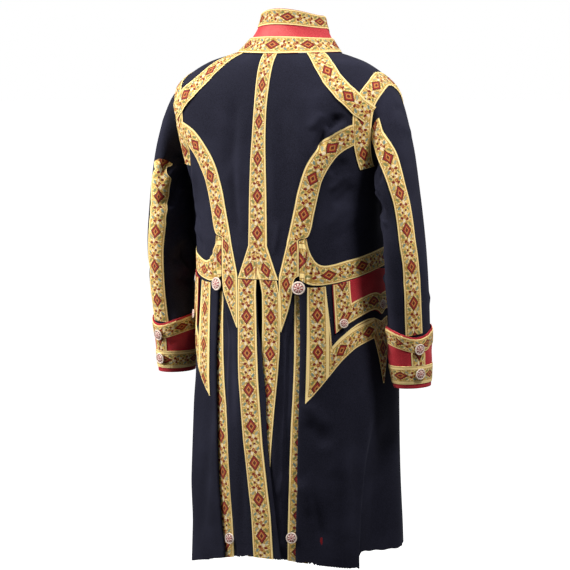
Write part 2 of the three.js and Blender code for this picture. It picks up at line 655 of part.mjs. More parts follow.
for (const [word, side] of [['left', 1], ['right', -1]]) {
  const back = side > 0 ? surfaces.backLeft : surfaces.backRight;
  laceBetween(`lace_side_back_${word}`, side, [...sideBackRows, ...sideBackPoint[word]],
    [1, 2, 2, 2, 2, 1, 1, 1, 1, 1, 1, 1, 1, 1], 3, back, laceLift + 0.2);
  laceBetween(`lace_waist_${word}`, side, waistLaceRows, [1, 1, 1, 1, 1, 1, 1, 1, 1, 1, 1, 2, 2, 2, 2, 5, 6], 2,
    surfaces.coat, laceLift + 0.45);

  const onCoat = (line) => line.map(([angle, z]) => [angle, levelOf(angle * side, z)]);
  const half = laceWidth / 2;
  wallBetween(`lace_shoulder_${word}`, side,
    edgesBeside(divide(onCoat(shoulderLine), 4), half, half, surfaces.coat, side),
    steps(4), surfaces.coat, livery, laceLift + 0.45, laceThick);
  const loop = armholeRun.map((a) => armholeSpot(side, a));
  wallBetween(`lace_armhole_${word}`, side, edgesBeside(loop, -3, laceWidth + 3, surfaces.coat, side),
    steps(5), surfaces.coat, livery, 2 * laceLift + 0.9, laceThick);

  const fold = pleatInner[word];
  laceBetween(`lace_pleat_${word}`, side, pleatHeights.map((z) => {
    const inner = along(fold, Math.max(z, -925));
    return [inner, z, inner + pleatLaceAngle, z];
  }), 1, 3, back, laceLift + 0.2);

  const shift = pocketShift[word];
  laceBetween(`lace_pocket_${word}`, side, bothHalves(pocketRows, shift, (angle) => (angle < 45 ? 36 : 0)),
    [1, 1, 1, 1, 1, 2, 1, 1, 1, 1, 1, 1, 1, 1, 1, 2, 1, 1, 1, 1, 1], 3,
    surfaces.coat, laceLift + 0.25);
  const flapTop = (angle) => (80 - angle) * 0.62;
  wallBetween(`flap_${word}`, side, toLevels(bothHalves(flapRows, shift, flapTop), side), steps(4),
    surfaces.coat, redWool, flapRise, clothThick);
  laceBetween(`lace_flap_${word}`, side,
    bothHalves(flapLaceRows, shift, (angle) => (angle < 49 ? flapTop(angle) : 0)), 1, 2,
    surfaces.coat, flapRise + laceLift);

  const path = sleeveLacePath[word];
  wallBetween(`lace_sleeve_${word}`, 1, edgesBeside(divide(path, 3), half, half, sleeves[word], 1),
    steps(3), sleeves[word], livery, laceLift + 0.75, laceThick, sleeveEnd);
}

// Sewn-on buttons: a low dome with a turned rim, its foot on the surface.
function button(name, point, facing, radius, shank) {
  const domeRows = [[0.5, 0], [1, 0.1], [1, 0.4], [0.6, 0.85], [0, 1]];
  const profile = domeRows.map(([r, h]) => new THREE.Vector2(r * radius, shank + h * buttonHeight));
  profile.unshift(new THREE.Vector2(0, 0), new THREE.Vector2(radius / 2, 0));
  const geometry = new THREE.LatheGeometry(profile, 10);
  const turn = new THREE.Quaternion().setFromUnitVectors(new THREE.Vector3(0, 1, 0), facing);
  geometry.applyQuaternion(turn).translate(point.x, point.y, point.z);
  geometry.deleteAttribute('normal');
  geometry.deleteAttribute('uv');
  const mesh = new THREE.Mesh(mergeVertices(geometry, 1e-4), redBone());
  mesh.geometry.computeVertexNormals();
  mesh.name = name;
  add(mesh);
}
function buttonOn(name, surface, u, v, lift, radius, last, shank = shankHeight) {
  const foot = lifted(surface, u, v, lift, last);
  const facing = lifted(surface, u, v, lift + 10, last).sub(foot).normalize();
  button(name, foot, facing, radius, shank);
}
const clear = 0.3;
const pleatShank = 6.8;
const pleatClear = 0.9;
const hipSpot = { left: [32.4, -427], right: [28.4, -427] };
const footSpot = { left: [17, -901], right: [23.3, -889] };
for (const [word, side] of [['left', 1], ['right', -1]]) {
  const at = ([angle, z]) => [angle * side, levelAt(angle * side, z)];
  buttonOn(`button_hip_${word}`, surfaces.coat, ...at(hipSpot[word]), 0.5, hipButtonRadius, bodyEnd);
  buttonOn(`button_pleat_${word}`, surfaces.coat, ...at(footSpot[word]), laceLift + pleatClear - layerStep,
    smallButtonRadius, bodyEnd, pleatShank);
  const shift = pocketShift[word];
  const onFlap = flapRise + laceLift + clear;
  [[53.2, -492], [80, -462], [106.8, -492]].forEach(([angle, z], i) => {
    buttonOn(`button_flap_${word}_${i + 1}`, surfaces.coat, ...at([angle + shift, z]), onFlap,
      flapButtonRadius, bodyEnd);
  });
  const onCuff = cuffRise + laceLift + clear;
  [7.97, 8.6].forEach((level, i) => {
    buttonOn(`button_cuff_${word}_${i + 1}`, sleeves[word], sleeveLaceAngle[word], level, onCuff,
      smallButtonRadius, sleeveEnd);
  });
}
[-118, -161, -201, -239, -290].forEach((z, i) => {
  const angle = -175.4;
  buttonOn(`button_front_${i + 1}`, surfaces.coat, angle, levelAt(angle, z), clear, smallButtonRadius,
    bodyEnd);
});

export default group;
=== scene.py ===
import math

import bpy
import numpy as np
from mathutils import Matrix, Vector


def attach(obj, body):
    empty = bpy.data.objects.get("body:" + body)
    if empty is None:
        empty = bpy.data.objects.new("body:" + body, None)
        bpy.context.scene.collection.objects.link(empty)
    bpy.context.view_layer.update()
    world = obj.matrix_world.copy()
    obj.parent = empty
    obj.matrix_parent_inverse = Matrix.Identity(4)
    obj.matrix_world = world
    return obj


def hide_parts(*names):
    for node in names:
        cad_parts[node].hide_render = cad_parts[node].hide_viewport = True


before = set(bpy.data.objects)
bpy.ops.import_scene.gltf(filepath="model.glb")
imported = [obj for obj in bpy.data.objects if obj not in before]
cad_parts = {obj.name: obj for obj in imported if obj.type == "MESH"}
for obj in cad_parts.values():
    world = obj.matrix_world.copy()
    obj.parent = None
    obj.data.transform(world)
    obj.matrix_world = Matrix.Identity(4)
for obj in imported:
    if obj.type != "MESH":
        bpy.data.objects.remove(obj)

# Livery coat, worn and hollow. Lengths in the tables are millimetres, as on a cutter's draft.
# Angles go round the body in degrees: 0 is the centre back and +90 the wearer's left.
scene = bpy.context.scene
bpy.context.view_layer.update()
bpy.ops.object.select_all(action="DESELECT")
print("frame loaded:", len(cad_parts), "nodes")

cameraSet = {"azimuth": 207, "elevation": 5.7, "distance": 4.5, "lens": 150, "height": -0.437,
             "aside": -0.01516}


def placeCamera(look):
    turn, rise = math.radians(look["azimuth"]), math.radians(look["elevation"])
    back = Vector((math.sin(turn) * math.cos(rise), -math.cos(turn) * math.cos(rise), math.sin(rise)))
    right = (-back).cross(Vector((0, 0, 1))).normalized()
    target = Vector((0, 0, look["height"])) + right * look["aside"]
    bpy.ops.object.camera_add(location=target + back * look["distance"],
                              rotation=(-back).to_track_quat("-Z", "Y").to_euler())
    camera = bpy.context.object
    camera.name = "backCamera"
    camera.data.lens = look["lens"]
    camera.data.sensor_width = 36
    scene.camera = camera


placeCamera(cameraSet)
print("camera placed")


# ---- materials
def srgb(hexColour):
    channels = [int(hexColour[k:k + 2], 16) / 255 for k in (1, 3, 5)]
    return (*[c / 12.92 if c <= 0.04045 else ((c + 0.055) / 1.055) ** 2.4 for c in channels], 1)


def addNode(tree, kind, settings=None, inputs=None):
    node = tree.nodes.new("ShaderNode" + kind)
    for key, value in (settings or {}).items():
        setattr(node, key, value)
    for key, value in (inputs or {}).items():
        if isinstance(value, bpy.types.NodeSocket):
            tree.links.new(value, node.inputs[key])
        else:
            node.inputs[key].default_value = value
    return node


def newMaterial(name):
    material = bpy.data.materials.new(name)
    material.use_nodes = True
    material.node_tree.nodes.clear()
    return material, material.node_tree


def mixColour(tree, share, first, second):
    return addNode(tree, "Mix", {"data_type": "RGBA"}, {0: share, 6: first, 7: second}).outputs[2]


def maths(tree, operation, *values):
    return addNode(tree, "Math", {"operation": operation}, dict(enumerate(values))).outputs["Value"]


def vectorMaths(tree, operation, *values):
    node = addNode(tree, "VectorMath", {"operation": operation}, dict(enumerate(values)))
    return node.outputs["Value" if operation in ("LENGTH", "DOT_PRODUCT") else "Vector"]


def ranged(tree, value, low, high, toLow=0.0, toHigh=1.0):
    return addNode(tree, "MapRange", None, {"Value": value, "From Min": low, "From Max": high,
                                            "To Min": toLow, "To Max": toHigh}).outputs["Result"]


def noise(tree, place, scale, detail, **more):
    return addNode(tree, "TexNoise", None, {"Vector": place, "Scale": scale, "Detail": detail,
                                            **more}).outputs["Fac"]


def bumped(tree, height, strength, distance):
    return addNode(tree, "Bump", None, {"Height": height, "Strength": strength,
                                        "Distance": distance}).outputs["Normal"]


def finishMaterial(tree, colour, bump, look):
    surface = addNode(tree, "BsdfPrincipled", None, {
        "Base Color": colour, "Roughness": look["roughness"], "Normal": bump, "Metallic": 0.0, "IOR": 1.5,
        "Specular IOR Level": look["specular"], "Sheen Weight": look.get("sheen", 0.0),
        "Sheen Roughness": 0.5, "Sheen Tint": srgb(look.get("sheenTint", "#ffffff"))})
    addNode(tree, "OutputMaterial", None, {"Surface": surface.outputs["BSDF"]})


# Fulled wool broadcloth: woven, shrunk and brushed until a short nap hides the threads, so it
# is matt, with a faint bloom at grazing angles and slow changes of shade.
navyWool = {"name": "navyFulledWool", "dark": "#12121b", "light": "#22222f", "faded": "#2e2e3d",
            "roughness": 0.88, "specular": 0.09, "sheen": 0.04, "sheenTint": "#8c90b4",
            "napMm": 1.6, "shadeMm": 90, "napBump": 0.00035}
redWool = {"name": "redFulledWool", "dark": "#8f1a24", "light": "#b83039", "faded": "#c94f52",
           "roughness": 0.84, "specular": 0.16, "sheen": 0.08, "sheenTint": "#ffb0a8",
           "napMm": 1.6, "shadeMm": 60, "napBump": 0.00035}
# A paler copy of the red wool for the collar: painted light, standing in for the stronger light that falls on
# it.
collarLitWool = dict(redWool, name="redFulledWoolPaintedLight", dark="#a32a31", light="#cb4a4e", faded="#de7d76")


def fulledWool(look, tearAt=None):
    material, tree = newMaterial(look["name"] + ("Torn" if tearAt else ""))
    place = addNode(tree, "TexCoord").outputs["Object"]
    nap = noise(tree, place, 1000 / look["napMm"], 4.0, Roughness=0.65)
    shade = noise(tree, place, 1000 / look["shadeMm"], 3.0)
    fibres = mixColour(tree, ranged(tree, nap, 0.35, 0.68), srgb(look["dark"]), srgb(look["light"]))
    colour = mixColour(tree, ranged(tree, shade, 0.45, 0.8, toHigh=0.5), fibres, srgb(look["faded"]))
    if tearAt:  # a short upright slit where the red backing shows
        stretch = addNode(tree, "Mapping", {"vector_type": "TEXTURE"}, {
            "Vector": place, "Location": tearAt["place"], "Rotation": (0, math.radians(tearAt["lean"]), 0),
            "Scale": tearAt["size"]})
        reach = vectorMaths(tree, "LENGTH", stretch.outputs["Vector"])
        ragged = maths(tree, "MULTIPLY_ADD", noise(tree, place, tearAt["fray"], 3.0), 1.5, reach)
        colour = mixColour(tree, maths(tree, "LESS_THAN", ragged, 1.6), colour, srgb(tearAt["colour"]))
    finishMaterial(tree, colour, bumped(tree, nap, 0.5, look["napBump"]), look)
    return material


# Figured livery lace: worsted and silk woven on a narrow loom, with a plain selvedge at each
# side. Its motifs step from thread to thread. A thread is about 0.5 mm, drawn at 0.9 mm to show.
liveryLace = {"name": "figuredWovenLace", "gold": "#dbb35c", "goldDark": "#ab8438", "cream": "#ead9a8",
              "selvedge": "#f0d590", "selvedgeLine": "#9c6a2e", "roughness": 0.7, "specular": 0.24,
              "sheen": 0.08, "sheenTint": "#fff0c8", "threadMm": 0.9, "repeatMm": 68, "widthMm": 35,
              "selvedgeMm": 2.4, "lineMm": 0.9}
# shape, across, along, half width, half length, turn, colour, from the middle of the repeat out
laceMotifs = [
    ("lozenge", 0, 0, 10.6, 15.4, 0, "#4d120d"),
    ("lozenge", 0, 0, 8.6, 12.4, 0, "#8a1c19"),
    ("lozenge", 0, 0, 5.2, 7.6, 0, "#c08038"),
    ("lozenge", 0, 0, 3.2, 4.8, 0, "#5f1511"),
    ("ellipse", 9.0, 10.8, 2.2, 4.4, 32, "#7b7a48"),
    ("ellipse", -8.8, 12.4, 2.2, 4.2, -36, "#93957a"),
    ("ellipse", -2.8, 18.0, 2.4, 3.8, 12, "#dccbaa"),
    ("ellipse", 4.2, 20.0, 3.4, 2.4, 20, "#74180f"),
    ("ellipse", -6.6, 22.6, 3.2, 2.4, -15, "#74180f"),
    ("ellipse", 0.6, 24.6, 2.6, 3.2, 8, "#8a1c19"),
    ("ellipse", 0.4, 24.2, 1.3, 1.5, 0, "#cf9a48"),
    ("ellipse", 9.2, 26.4, 2.0, 4.0, -38, "#6f7f74"),
    ("ellipse", -9.6, 29.6, 2.0, 3.6, 30, "#7b7a48"),
    ("ellipse", 3.4, 30.8, 2.2, 2.6, 0, "#dccbaa"),
    ("ellipse", -3.6, 32.0, 2.4, 2.2, 0, "#5f1511"),
]


def wovenLace(look, motifs):
    material, tree = newMaterial(look["name"])
    place = addNode(tree, "UVMap", {"uv_map": "clothMm"}).outputs["UV"]
    snapped = vectorMaths(tree, "SNAP", place, (look["threadMm"],) * 3)
    parts = addNode(tree, "SeparateXYZ", None, {0: snapped})
    half, halfRepeat = look["widthMm"] / 2, look["repeatMm"] / 2
    across = maths(tree, "WRAP", parts.outputs["X"], half, -half)
    down = maths(tree, "WRAP", parts.outputs["Y"], halfRepeat, -halfRepeat)
    foldedAcross = maths(tree, "MULTIPLY", across, maths(tree, "SIGN", down))
    spot = addNode(tree, "CombineXYZ", None, {0: foldedAcross, 1: maths(tree, "ABSOLUTE", down)})
    mottle = ranged(tree, noise(tree, snapped, 0.16, 2.0), 0.42, 0.6)
    colour = mixColour(tree, mottle, srgb(look["goldDark"]), srgb(look["gold"]))
    speck = ranged(tree, noise(tree, snapped, 0.31, 1.0), 0.56, 0.62)
    colour = mixColour(tree, speck, colour, srgb(look["cream"]))
    for shape, atAcross, atAlong, wide, long, turn, hue in motifs:
        moved = addNode(tree, "Mapping", {"vector_type": "TEXTURE"}, {
            "Vector": spot.outputs["Vector"], "Location": (atAcross, atAlong, 0),
            "Rotation": (0, 0, math.radians(turn)), "Scale": (wide, long, 1)}).outputs["Vector"]
        if shape == "lozenge":
            reach = vectorMaths(tree, "DOT_PRODUCT", vectorMaths(tree, "ABSOLUTE", moved), (1, 1, 0))
        else:
            reach = vectorMaths(tree, "LENGTH", moved)
        colour = mixColour(tree, maths(tree, "LESS_THAN", reach, 1.0), colour, srgb(hue))
    # the selvedge: by distance from the ribbon's own middle, or from the cut edge where it is narrower
    toEdge = maths(tree, "SUBTRACT", half, maths(tree, "ABSOLUTE", across))
    cut = addNode(tree, "Attribute", {"attribute_name": "edgeMm"}).outputs["Fac"]
    nearest = maths(tree, "MINIMUM", toEdge, cut)
    plain = look["selvedgeMm"]
    for width, hue in ((plain + look["lineMm"], "selvedgeLine"), (plain, "selvedge")):
        colour = mixColour(tree, maths(tree, "LESS_THAN", nearest, width), colour, srgb(look[hue]))
    # the picks cross the ribbon as fine ribs, and wear makes the colour uneven
    ribs = addNode(tree, "TexWave", {"bands_direction": "Y"}, {
        "Vector": place, "Scale": 0.314 / look["threadMm"], "Distortion": 0.6, "Detail": 1.0})
    fibre = noise(tree, place, 0.9, 3.0)
    rough = maths(tree, "MULTIPLY_ADD", fibre, 0.8, ribs.outputs["Fac"])
    wear = ranged(tree, fibre, 0.3, 0.7, 0.82, 1.12)
    worn = addNode(tree, "VectorMath", {"operation": "SCALE"}, {0: colour, "Scale": wear})
    finishMaterial(tree, worn.outputs["Vector"], bumped(tree, rough, 0.6, 0.0003), look)
    return material


# Passementerie button: silk wound over a wooden mould, a pale ring round red rays.
woundSilk = {"name": "woundSilkButton", "pale": "#e0cdbe", "ray": "#96262f", "line": "#5a3029", "rays": 8.0,
             "threads": 40.0, "roughness": 0.5, "specular": 0.4, "sheen": 0.15, "sheenTint": "#ffe6e0",
             "rings": (("GREATER_THAN", 0.68, "line"), ("GREATER_THAN", 0.76, "pale"),
                       ("LESS_THAN", 0.24, "pale"), ("LESS_THAN", 0.17, "ray"))}


def woundButton(look):
    material, tree = newMaterial(look["name"])
    place = addNode(tree, "UVMap", {"uv_map": "clothMm"}).outputs["UV"]  # -1 to 1 across the button
    parts = addNode(tree, "SeparateXYZ", None, {0: place})
    reach = vectorMaths(tree, "LENGTH", place)
    turn = maths(tree, "ARCTAN2", parts.outputs["Y"], parts.outputs["X"])
    wave = maths(tree, "COSINE", maths(tree, "MULTIPLY", turn, look["rays"]))
    taper = maths(tree, "MULTIPLY_ADD", reach, 1.1, -0.5)
    isRay = maths(tree, "GREATER_THAN", wave, taper)
    colour = mixColour(tree, isRay, srgb(look["pale"]), srgb(look["ray"]))
    for compare, edge, hue in look["rings"]:
        colour = mixColour(tree, maths(tree, compare, reach, edge), colour, srgb(look[hue]))
    relief = maths(tree, "SINE", maths(tree, "MULTIPLY", turn, look["threads"]))
    finishMaterial(tree, colour, bumped(tree, relief, 0.4, 0.0002), look)
    return material


navyCloth = fulledWool(navyWool)
redCloth = fulledWool(redWool)
collarLitRed = fulledWool(collarLitWool)
laceCloth = wovenLace(liveryLace, laceMotifs)
buttonSilk = woundButton(woundSilk)
print("materials made")

# ---- the body's form: the same rings as the frame, in millimetres
# zBack, zSide, zFront, halfWidth, yMid, yBack, yFront, squareness
bodyRings = np.array([
    [0, 2, -66, 99, 12, 92, -64, 2.0],
    [-14, -5, -84, 126, 18, 106, -76, 2.0],
    [-38, -17, -108, 160, 24, 118, -88, 2.1],
    [-70, -39, -136, 194, 30, 127, -102, 2.3],
    [-106, -70, -166, 219, 34, 134, -116, 2.5],
    [-152, -126, -200, 219, 27, 139, -130, 2.6],
    [-205, -205, -234, 204, 10, 142, -145, 2.5],
    [-280, -280, -287, 194, -6, 143, -155, 2.3],
    [-415, -415, -415, 190, -12, 145, -158, 2.2],
    [-550, -550, -550, 196, -20, 148, -172, 2.2],
    [-750, -750, -750, 201, -20, 154, -184, 2.2],
    [-930, -957, -962, 207, -20, 160, -195, 2.2]])
# innerX, innerZ, outerX, outerZ, yMid, halfDepth
sleeveRings = np.array([
    [206, -226, 233, -56, 30, 58],
    [207, -228, 239, -82, 36, 57],
    [207, -231, 248, -125, 40, 58],
    [207, -237, 259, -180, 41, 60],
    [206, -254, 268, -240, 41, 62],
    [203, -300, 277, -295, 40, 60],
    [203, -363, 284, -361, 37, 59],
    [206, -448, 286, -448, 26, 55],
    [210, -540, 283, -540, 11, 49],
    [221, -612, 279, -612, 5, 41]])
bodyEnd, sleeveEnd = len(bodyRings) - 1, len(sleeveRings) - 1
# how far the hem hangs above or below its ring, by angle
hemFall = [[-180, -4], [-150, 10], [-110, 26], [-70, 26], [-65.5, 0], [-24, 0], [0, 0], [12, -3], [30, -9],
           [45, -14], [63, -20], [90, -19], [150, -12], [180, -4]]


def smooth(value):
    c = np.clip(value, 0, 1)
    return c * c * (3 - 2 * c)


def mixed(a, b, share):
    return a + (b - a) * share


def smoothRow(before, start, end, after, share):
    f = share[..., None]
    return 0.5 * (2 * start + (end - before) * f + (2 * before - 5 * start + 4 * end - after) * f * f
                  + (3 * start - before - 3 * end + after) * f ** 3)


def rowAt(rows, level):
    t = np.clip(level, 0, len(rows) - 1)
    i = np.minimum(np.floor(t).astype(int), len(rows) - 2)
    padded = np.vstack([2 * rows[0] - rows[1], rows, 2 * rows[-1] - rows[-2]])
    return smoothRow(padded[i], padded[i + 1], padded[i + 2], padded[i + 3], t - i)


def along(table, position):
    heights, values = np.array(table, float).T
    order = np.argsort(heights)
    return np.interp(position, heights[order], values[order])


def bodyPoint(angle, level):
    angle, level = np.broadcast_arrays(np.asarray(angle, float), np.asarray(level, float))
    zBack, zSide, zFront, halfWidth, yMid, yBack, yFront, n = np.moveaxis(rowAt(bodyRings, level), -1, 0)
    s, c = np.sin(np.radians(angle)), np.cos(np.radians(angle))
    depth = np.where(c >= 0, yBack - yMid, yMid - yFront)
    r = (np.abs(s / halfWidth) ** n + np.abs(c / depth) ** n) ** (-1 / n)
    z = zSide + (np.where(c >= 0, zBack, zFront) - zSide) * c * c
    z = z + along(hemFall, angle) * smooth(level - (bodyEnd - 1))
    return np.stack([r * s, yMid + r * c, z], -1)


def levelAt(angle, z):
    angle, z = np.broadcast_arrays(np.asarray(angle, float), np.asarray(z, float))
    low, high = np.zeros(z.shape), np.full(z.shape, float(bodyEnd))
    for _ in range(22):
        middle = (low + high) / 2
        above = bodyPoint(angle, middle)[..., 2] > z
        low, high = np.where(above, middle, low), np.where(above, high, middle)
    return np.where(z > 5, 0, (low + high) / 2)


# Soft creases, listed one by one: from angle and height to angle and height, then width and depth.
bodyCreases = np.array([
    [-62, -108, -53, -142, 6, -8.5], [-54, -134, -46, -178, 6, -6.5], [-63, -124, -50, -156, 5, 4.4],
    [-53, -104, -43, -140, 6, 3.6], [-60, -190, -50, -222, 7, -3.2],
    [-62, -214, -47, -252, 7, 2.4], [-64, -236, -50, -282, 8, -3.0], [-62, -270, -46, -318, 9, 1.8],
    [-66, -305, -48, -350, 9, -2.0], [64, -150, 68, -292, 9, -7.0], [57, -205, 60, -290, 8, 2.2],
    [72, -300, 52, -318, 7, -2.6], [70, -326, 50, -345, 7, 2.0], [66, -345, 46, -366, 8, -2.2],
    [30, -60, 24, -230, 16, -3.0], [18, -90, 13, -330, 15, 1.8], [23, -190, 15, -350, 11, -2.2],
    [-26, -66, -24, -270, 18, -1.8], [-12, -120, -13, -330, 14, 1.4], [-16, -300, -12, -372, 7, 1.5],
    [-28, -630, -46, -690, 12, 2.6], [-31, -670, -44, -720, 10, -2.2], [-27, -775, -36, -850, 11, 3.0],
    [-33, -800, -43, -905, 10, -2.8], [-50, -640, -54, -900, 20, 2.6], [-60, -650, -58, -930, 14, -2.0],
    [-42, -700, -50, -780, 15, 1.6], [36, -600, 42, -930, 14, -2.6], [52, -560, 58, -900, 18, 3.0],
    [70, -520, 76, -880, 20, -3.0], [22, -470, 18, -700, 9, -2.2], [15, -500, 9, -830, 9, 1.8],
    [10, -700, 8, -920, 8, -1.8], [-18, -480, -17, -720, 8, -2.0], [-12, -520, -12, -860, 8, 1.6],
    [-20, -760, -14, -820, 7, 1.6], [96, -480, 104, -900, 22, 3.2], [118, -470, 124, -920, 24, -3.2],
    [140, -450, 148, -900, 22, 3.0], [160, -470, 164, -920, 20, -2.6], [-96, -480, -90, -700, 22, 2.4],
    [-120, -470, -126, -900, 24, -3.0], [-142, -450, -150, -900, 22, 3.0], [-162, -480, -166, -920, 18, -2.4],
    [100, -235, 135, -262, 9, -2.6], [98, -255, 128, -300, 10, 2.0], [-100, -235, -134, -265, 9, -2.6],
    [-98, -258, -126, -305, 10, 2.0], [105, -330, 150, -338, 8, -1.8], [-106, -330, -152, -336, 8, -1.8],
    [150, -150, 166, -250, 12, 2.0], [-150, -150, -166, -250, 12, 2.0], [84, -250, 88, -345, 12, -2.4],
    [-82, -250, -86, -345, 12, -2.4]])


def creased(creases, angle, z, mmPerDegree):
    push = np.zeros(np.shape(angle))
    for fromAngle, fromZ, toAngle, toZ, width, depth in creases:
        run = np.array([(toAngle - fromAngle) * mmPerDegree, toZ - fromZ])
        length = np.hypot(*run)
        dx, dz = (angle - fromAngle) * mmPerDegree, z - fromZ
        share = (dx * run[0] + dz * run[1]) / length ** 2
        away = (dx * run[1] - dz * run[0]) / length
        push = push + depth * np.exp(-(away / width) ** 2) * smooth(share / 0.3) * smooth((1 - share) / 0.3)
    return push


# Flutes toward the hem, the deep fold behind each hip, and the listed creases.
bodyFolds = {"start": -470, "flute": 3.5, "depth": 34, "width": 40, "crest": 0.15, "creases": 1.6,
             "angle": [[-600, 70], [-693, 68.2], [-747, 65.9], [-832, 62.9], [-930, 60.6]]}


def folds(angle, z):
    fall = smooth((bodyFolds["start"] - z) / 400)
    around = np.abs(angle)
    flute = bodyFolds["flute"] * fall * np.sin(np.radians(around * 9 + 20)) * smooth((around - 40) / 20)
    across = (around - along(bodyFolds["angle"], z)) / bodyFolds["width"]
    pocket = smooth(across / bodyFolds["crest"]) * smooth((1 - across) / 0.62) * ((across > 0) & (across < 1))
    deep = bodyFolds["depth"] * pocket * smooth((-610 - z) / 260)
    return flute * (1 - pocket) - deep + bodyFolds["creases"] * creased(bodyCreases, angle, z, 3.0)


ventTop = -412
waistSide = 26.5
pleatFold = {1: [[-412, 32.2], [-608, 32.6], [-677, 31.5], [-748, 29.9], [-817, 27.7], [-888, 24.4],
                 [-930, 21.6]],
             -1: [[-412, 29], [-578, 28.2], [-742, 26.8], [-930, 25.6]]}
ventEdge = {1: [[-412, 0.1], [-418, 1.2], [-581, -0.8], [-722, -5], [-930, -14.2]],
            -1: [[-412, 0.1], [-418, 3.4], [-522, 3.2], [-581, 1.9], [-626, 0.8], [-700, -1.5], [-799, -3.2],
                 [-930, -5.2]]}
# the left panel's plain margin beyond its lace, which laps over the right vent lace
ventMargin = [[-418, 0], [-500, 0.6], [-522, 1.8], [-560, 3.2], [-626, 4.2], [-692, 3.1], [-760, 2.9],
              [-930, 2.6]]
layers = {"step": 8.8, "lap": 4.4, "underTurn": 13}


def dipSpan(fold, z):
    opened = smooth((-414 - z) / 120)
    return fold - mixed(3.4, 11.5, opened), fold - mixed(0.6, 7, opened)


def coatSurface(side=0):
    def surface(angle, level):
        p = bodyPoint(angle, level)
        z = p[..., 2]
        push = folds(angle, z)
        if side:
            start, end = dipSpan(along(pleatFold[side], z), z)
            pleat = smooth((angle * side - start) / (end - start))
            lap = layers["lap"] * smooth((-412 - z) / 110) if side < 0 else 0
            push = push - np.maximum(lap, layers["step"] * pleat) * (z <= ventTop + 1)
        turn = np.radians(angle)
        p[..., 0] += push * np.sin(turn)
        p[..., 1] += push * np.cos(turn)
        return p
    surface.centre = lambda p, level: p * [0, 0, 1] - [0, 0, 60]
    return surface


coat = coatSurface()
backs = {1: coatSurface(1), -1: coatSurface(-1)}


def lifted(surface, u, v, lift, last):
    u, v = np.broadcast_arrays(np.asarray(u, float), np.asarray(v, float))
    inside = np.clip(v, 0.02, last - 0.02)
    across = surface(u + 0.4, inside) - surface(u - 0.4, inside)
    down = surface(u, inside + 0.015) - surface(u, inside - 0.015)
    normal = np.cross(across, down)
    normal /= np.linalg.norm(normal, axis=-1, keepdims=True) + 1e-12
    p = surface(u, v)
    outward = np.sum(normal * (p - surface.centre(p, v)), -1, keepdims=True)
    return p + np.where(outward < 0, -normal, normal) * np.asarray(lift, float)[..., None]


# ---- turning grids of points into thin closed cloth
def sheetMesh(name, outer, inner, material, uv, edge=None, ring=False):
    rows, cols = outer.shape[:2]
    wide = cols + 1 if ring else cols
    count = rows * cols
    at = (np.arange(rows)[:, None] * cols + np.arange(wide)[None, :] % cols)
    plain = np.arange(rows * wide).reshape(rows, wide)

    def quads(grid, shift, flip):
        a, b, c, d = grid[:-1, :-1], grid[1:, :-1], grid[1:, 1:], grid[:-1, 1:]
        faces = np.stack([a, d, c, b] if flip else [a, b, c, d], -1).reshape(-1, 4)
        return faces + shift

    def strip(first, second):
        return np.stack([first[:-1], first[1:], second[1:], second[:-1]], -1)

    faces = [quads(at, 0, False), quads(at, count, True), strip(at[0], at[0] + count),
             strip(at[-1] + count, at[-1])]
    charts = [quads(plain, 0, False), quads(plain, 0, True), strip(plain[0], plain[0]),
              strip(plain[-1], plain[-1])]
    if not ring:
        faces += [strip(at[:, 0] + count, at[:, 0]), strip(at[:, -1], at[:, -1] + count)]
        charts += [strip(plain[:, 0], plain[:, 0]), strip(plain[:, -1], plain[:, -1])]
    faces, charts = np.vstack(faces), np.vstack(charts)
    points = np.vstack([outer.reshape(-1, 3), inner.reshape(-1, 3)]) / 1000
    a, b, c, d = (points[faces[:, k]] for k in range(4))
    if np.sum(a * np.cross(b, c)) + np.sum(a * np.cross(c, d)) < 0:
        faces, charts = faces[:, ::-1], charts[:, ::-1]
    mesh = bpy.data.meshes.new(name)
    mesh.vertices.add(len(points))
    mesh.vertices.foreach_set("co", points.astype(np.float32).ravel())
    mesh.loops.add(faces.size)
    mesh.loops.foreach_set("vertex_index", faces.astype(np.int32).ravel())
    mesh.polygons.add(len(faces))
    mesh.polygons.foreach_set("loop_start", np.arange(0, faces.size, 4, dtype=np.int32))
    mesh.update(calc_edges=True)
    layer = mesh.uv_layers.new(name="clothMm")
    layer.data.foreach_set("uv", uv.reshape(-1, 2)[charts].astype(np.float32).ravel())
    if edge is not None:
        mark = mesh.attributes.new("edgeMm", "FLOAT", "POINT")
        mark.data.foreach_set("value", np.tile(edge.reshape(-1), 2).astype(np.float32))
    mesh.validate()
    piece = bpy.data.objects.new(name, mesh)
    scene.collection.objects.link(piece)
    mesh.materials.append(material)
    bpy.ops.object.select_all(action="DESELECT")
    piece.select_set(True)
    bpy.context.view_layer.objects.active = piece
    bpy.ops.object.shade_smooth_by_angle(angle=math.radians(50))
    return piece


def spans(points, axis):
    step = np.linalg.norm(np.diff(points, axis=axis), axis=-1)
    start = np.zeros_like(np.take(step, [0], axis))
    return np.concatenate([start, np.cumsum(step, axis)], axis)


def chartOf(points):  # plain cloth: millimetres across and down
    return np.stack([spans(points, 1), spans(points, 0)], -1)


def settle(piece, nodes):
    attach(piece, "root")
    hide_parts(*nodes)


def divided(rows, longest, mmPerDegree=3.2):
    rows = np.array(rows, float)
    out = [rows[:1]]
    for a, b in zip(rows[:-1], rows[1:]):
        reach = max(np.hypot((b[k] - a[k]) * mmPerDegree, b[k + 1] - a[k + 1]) for k in (0, 2))
        n = max(1, math.ceil(reach / longest))
        out.append(mixed(a, b, (np.arange(1, n + 1) / n)[:, None]))
    return np.vstack(out)


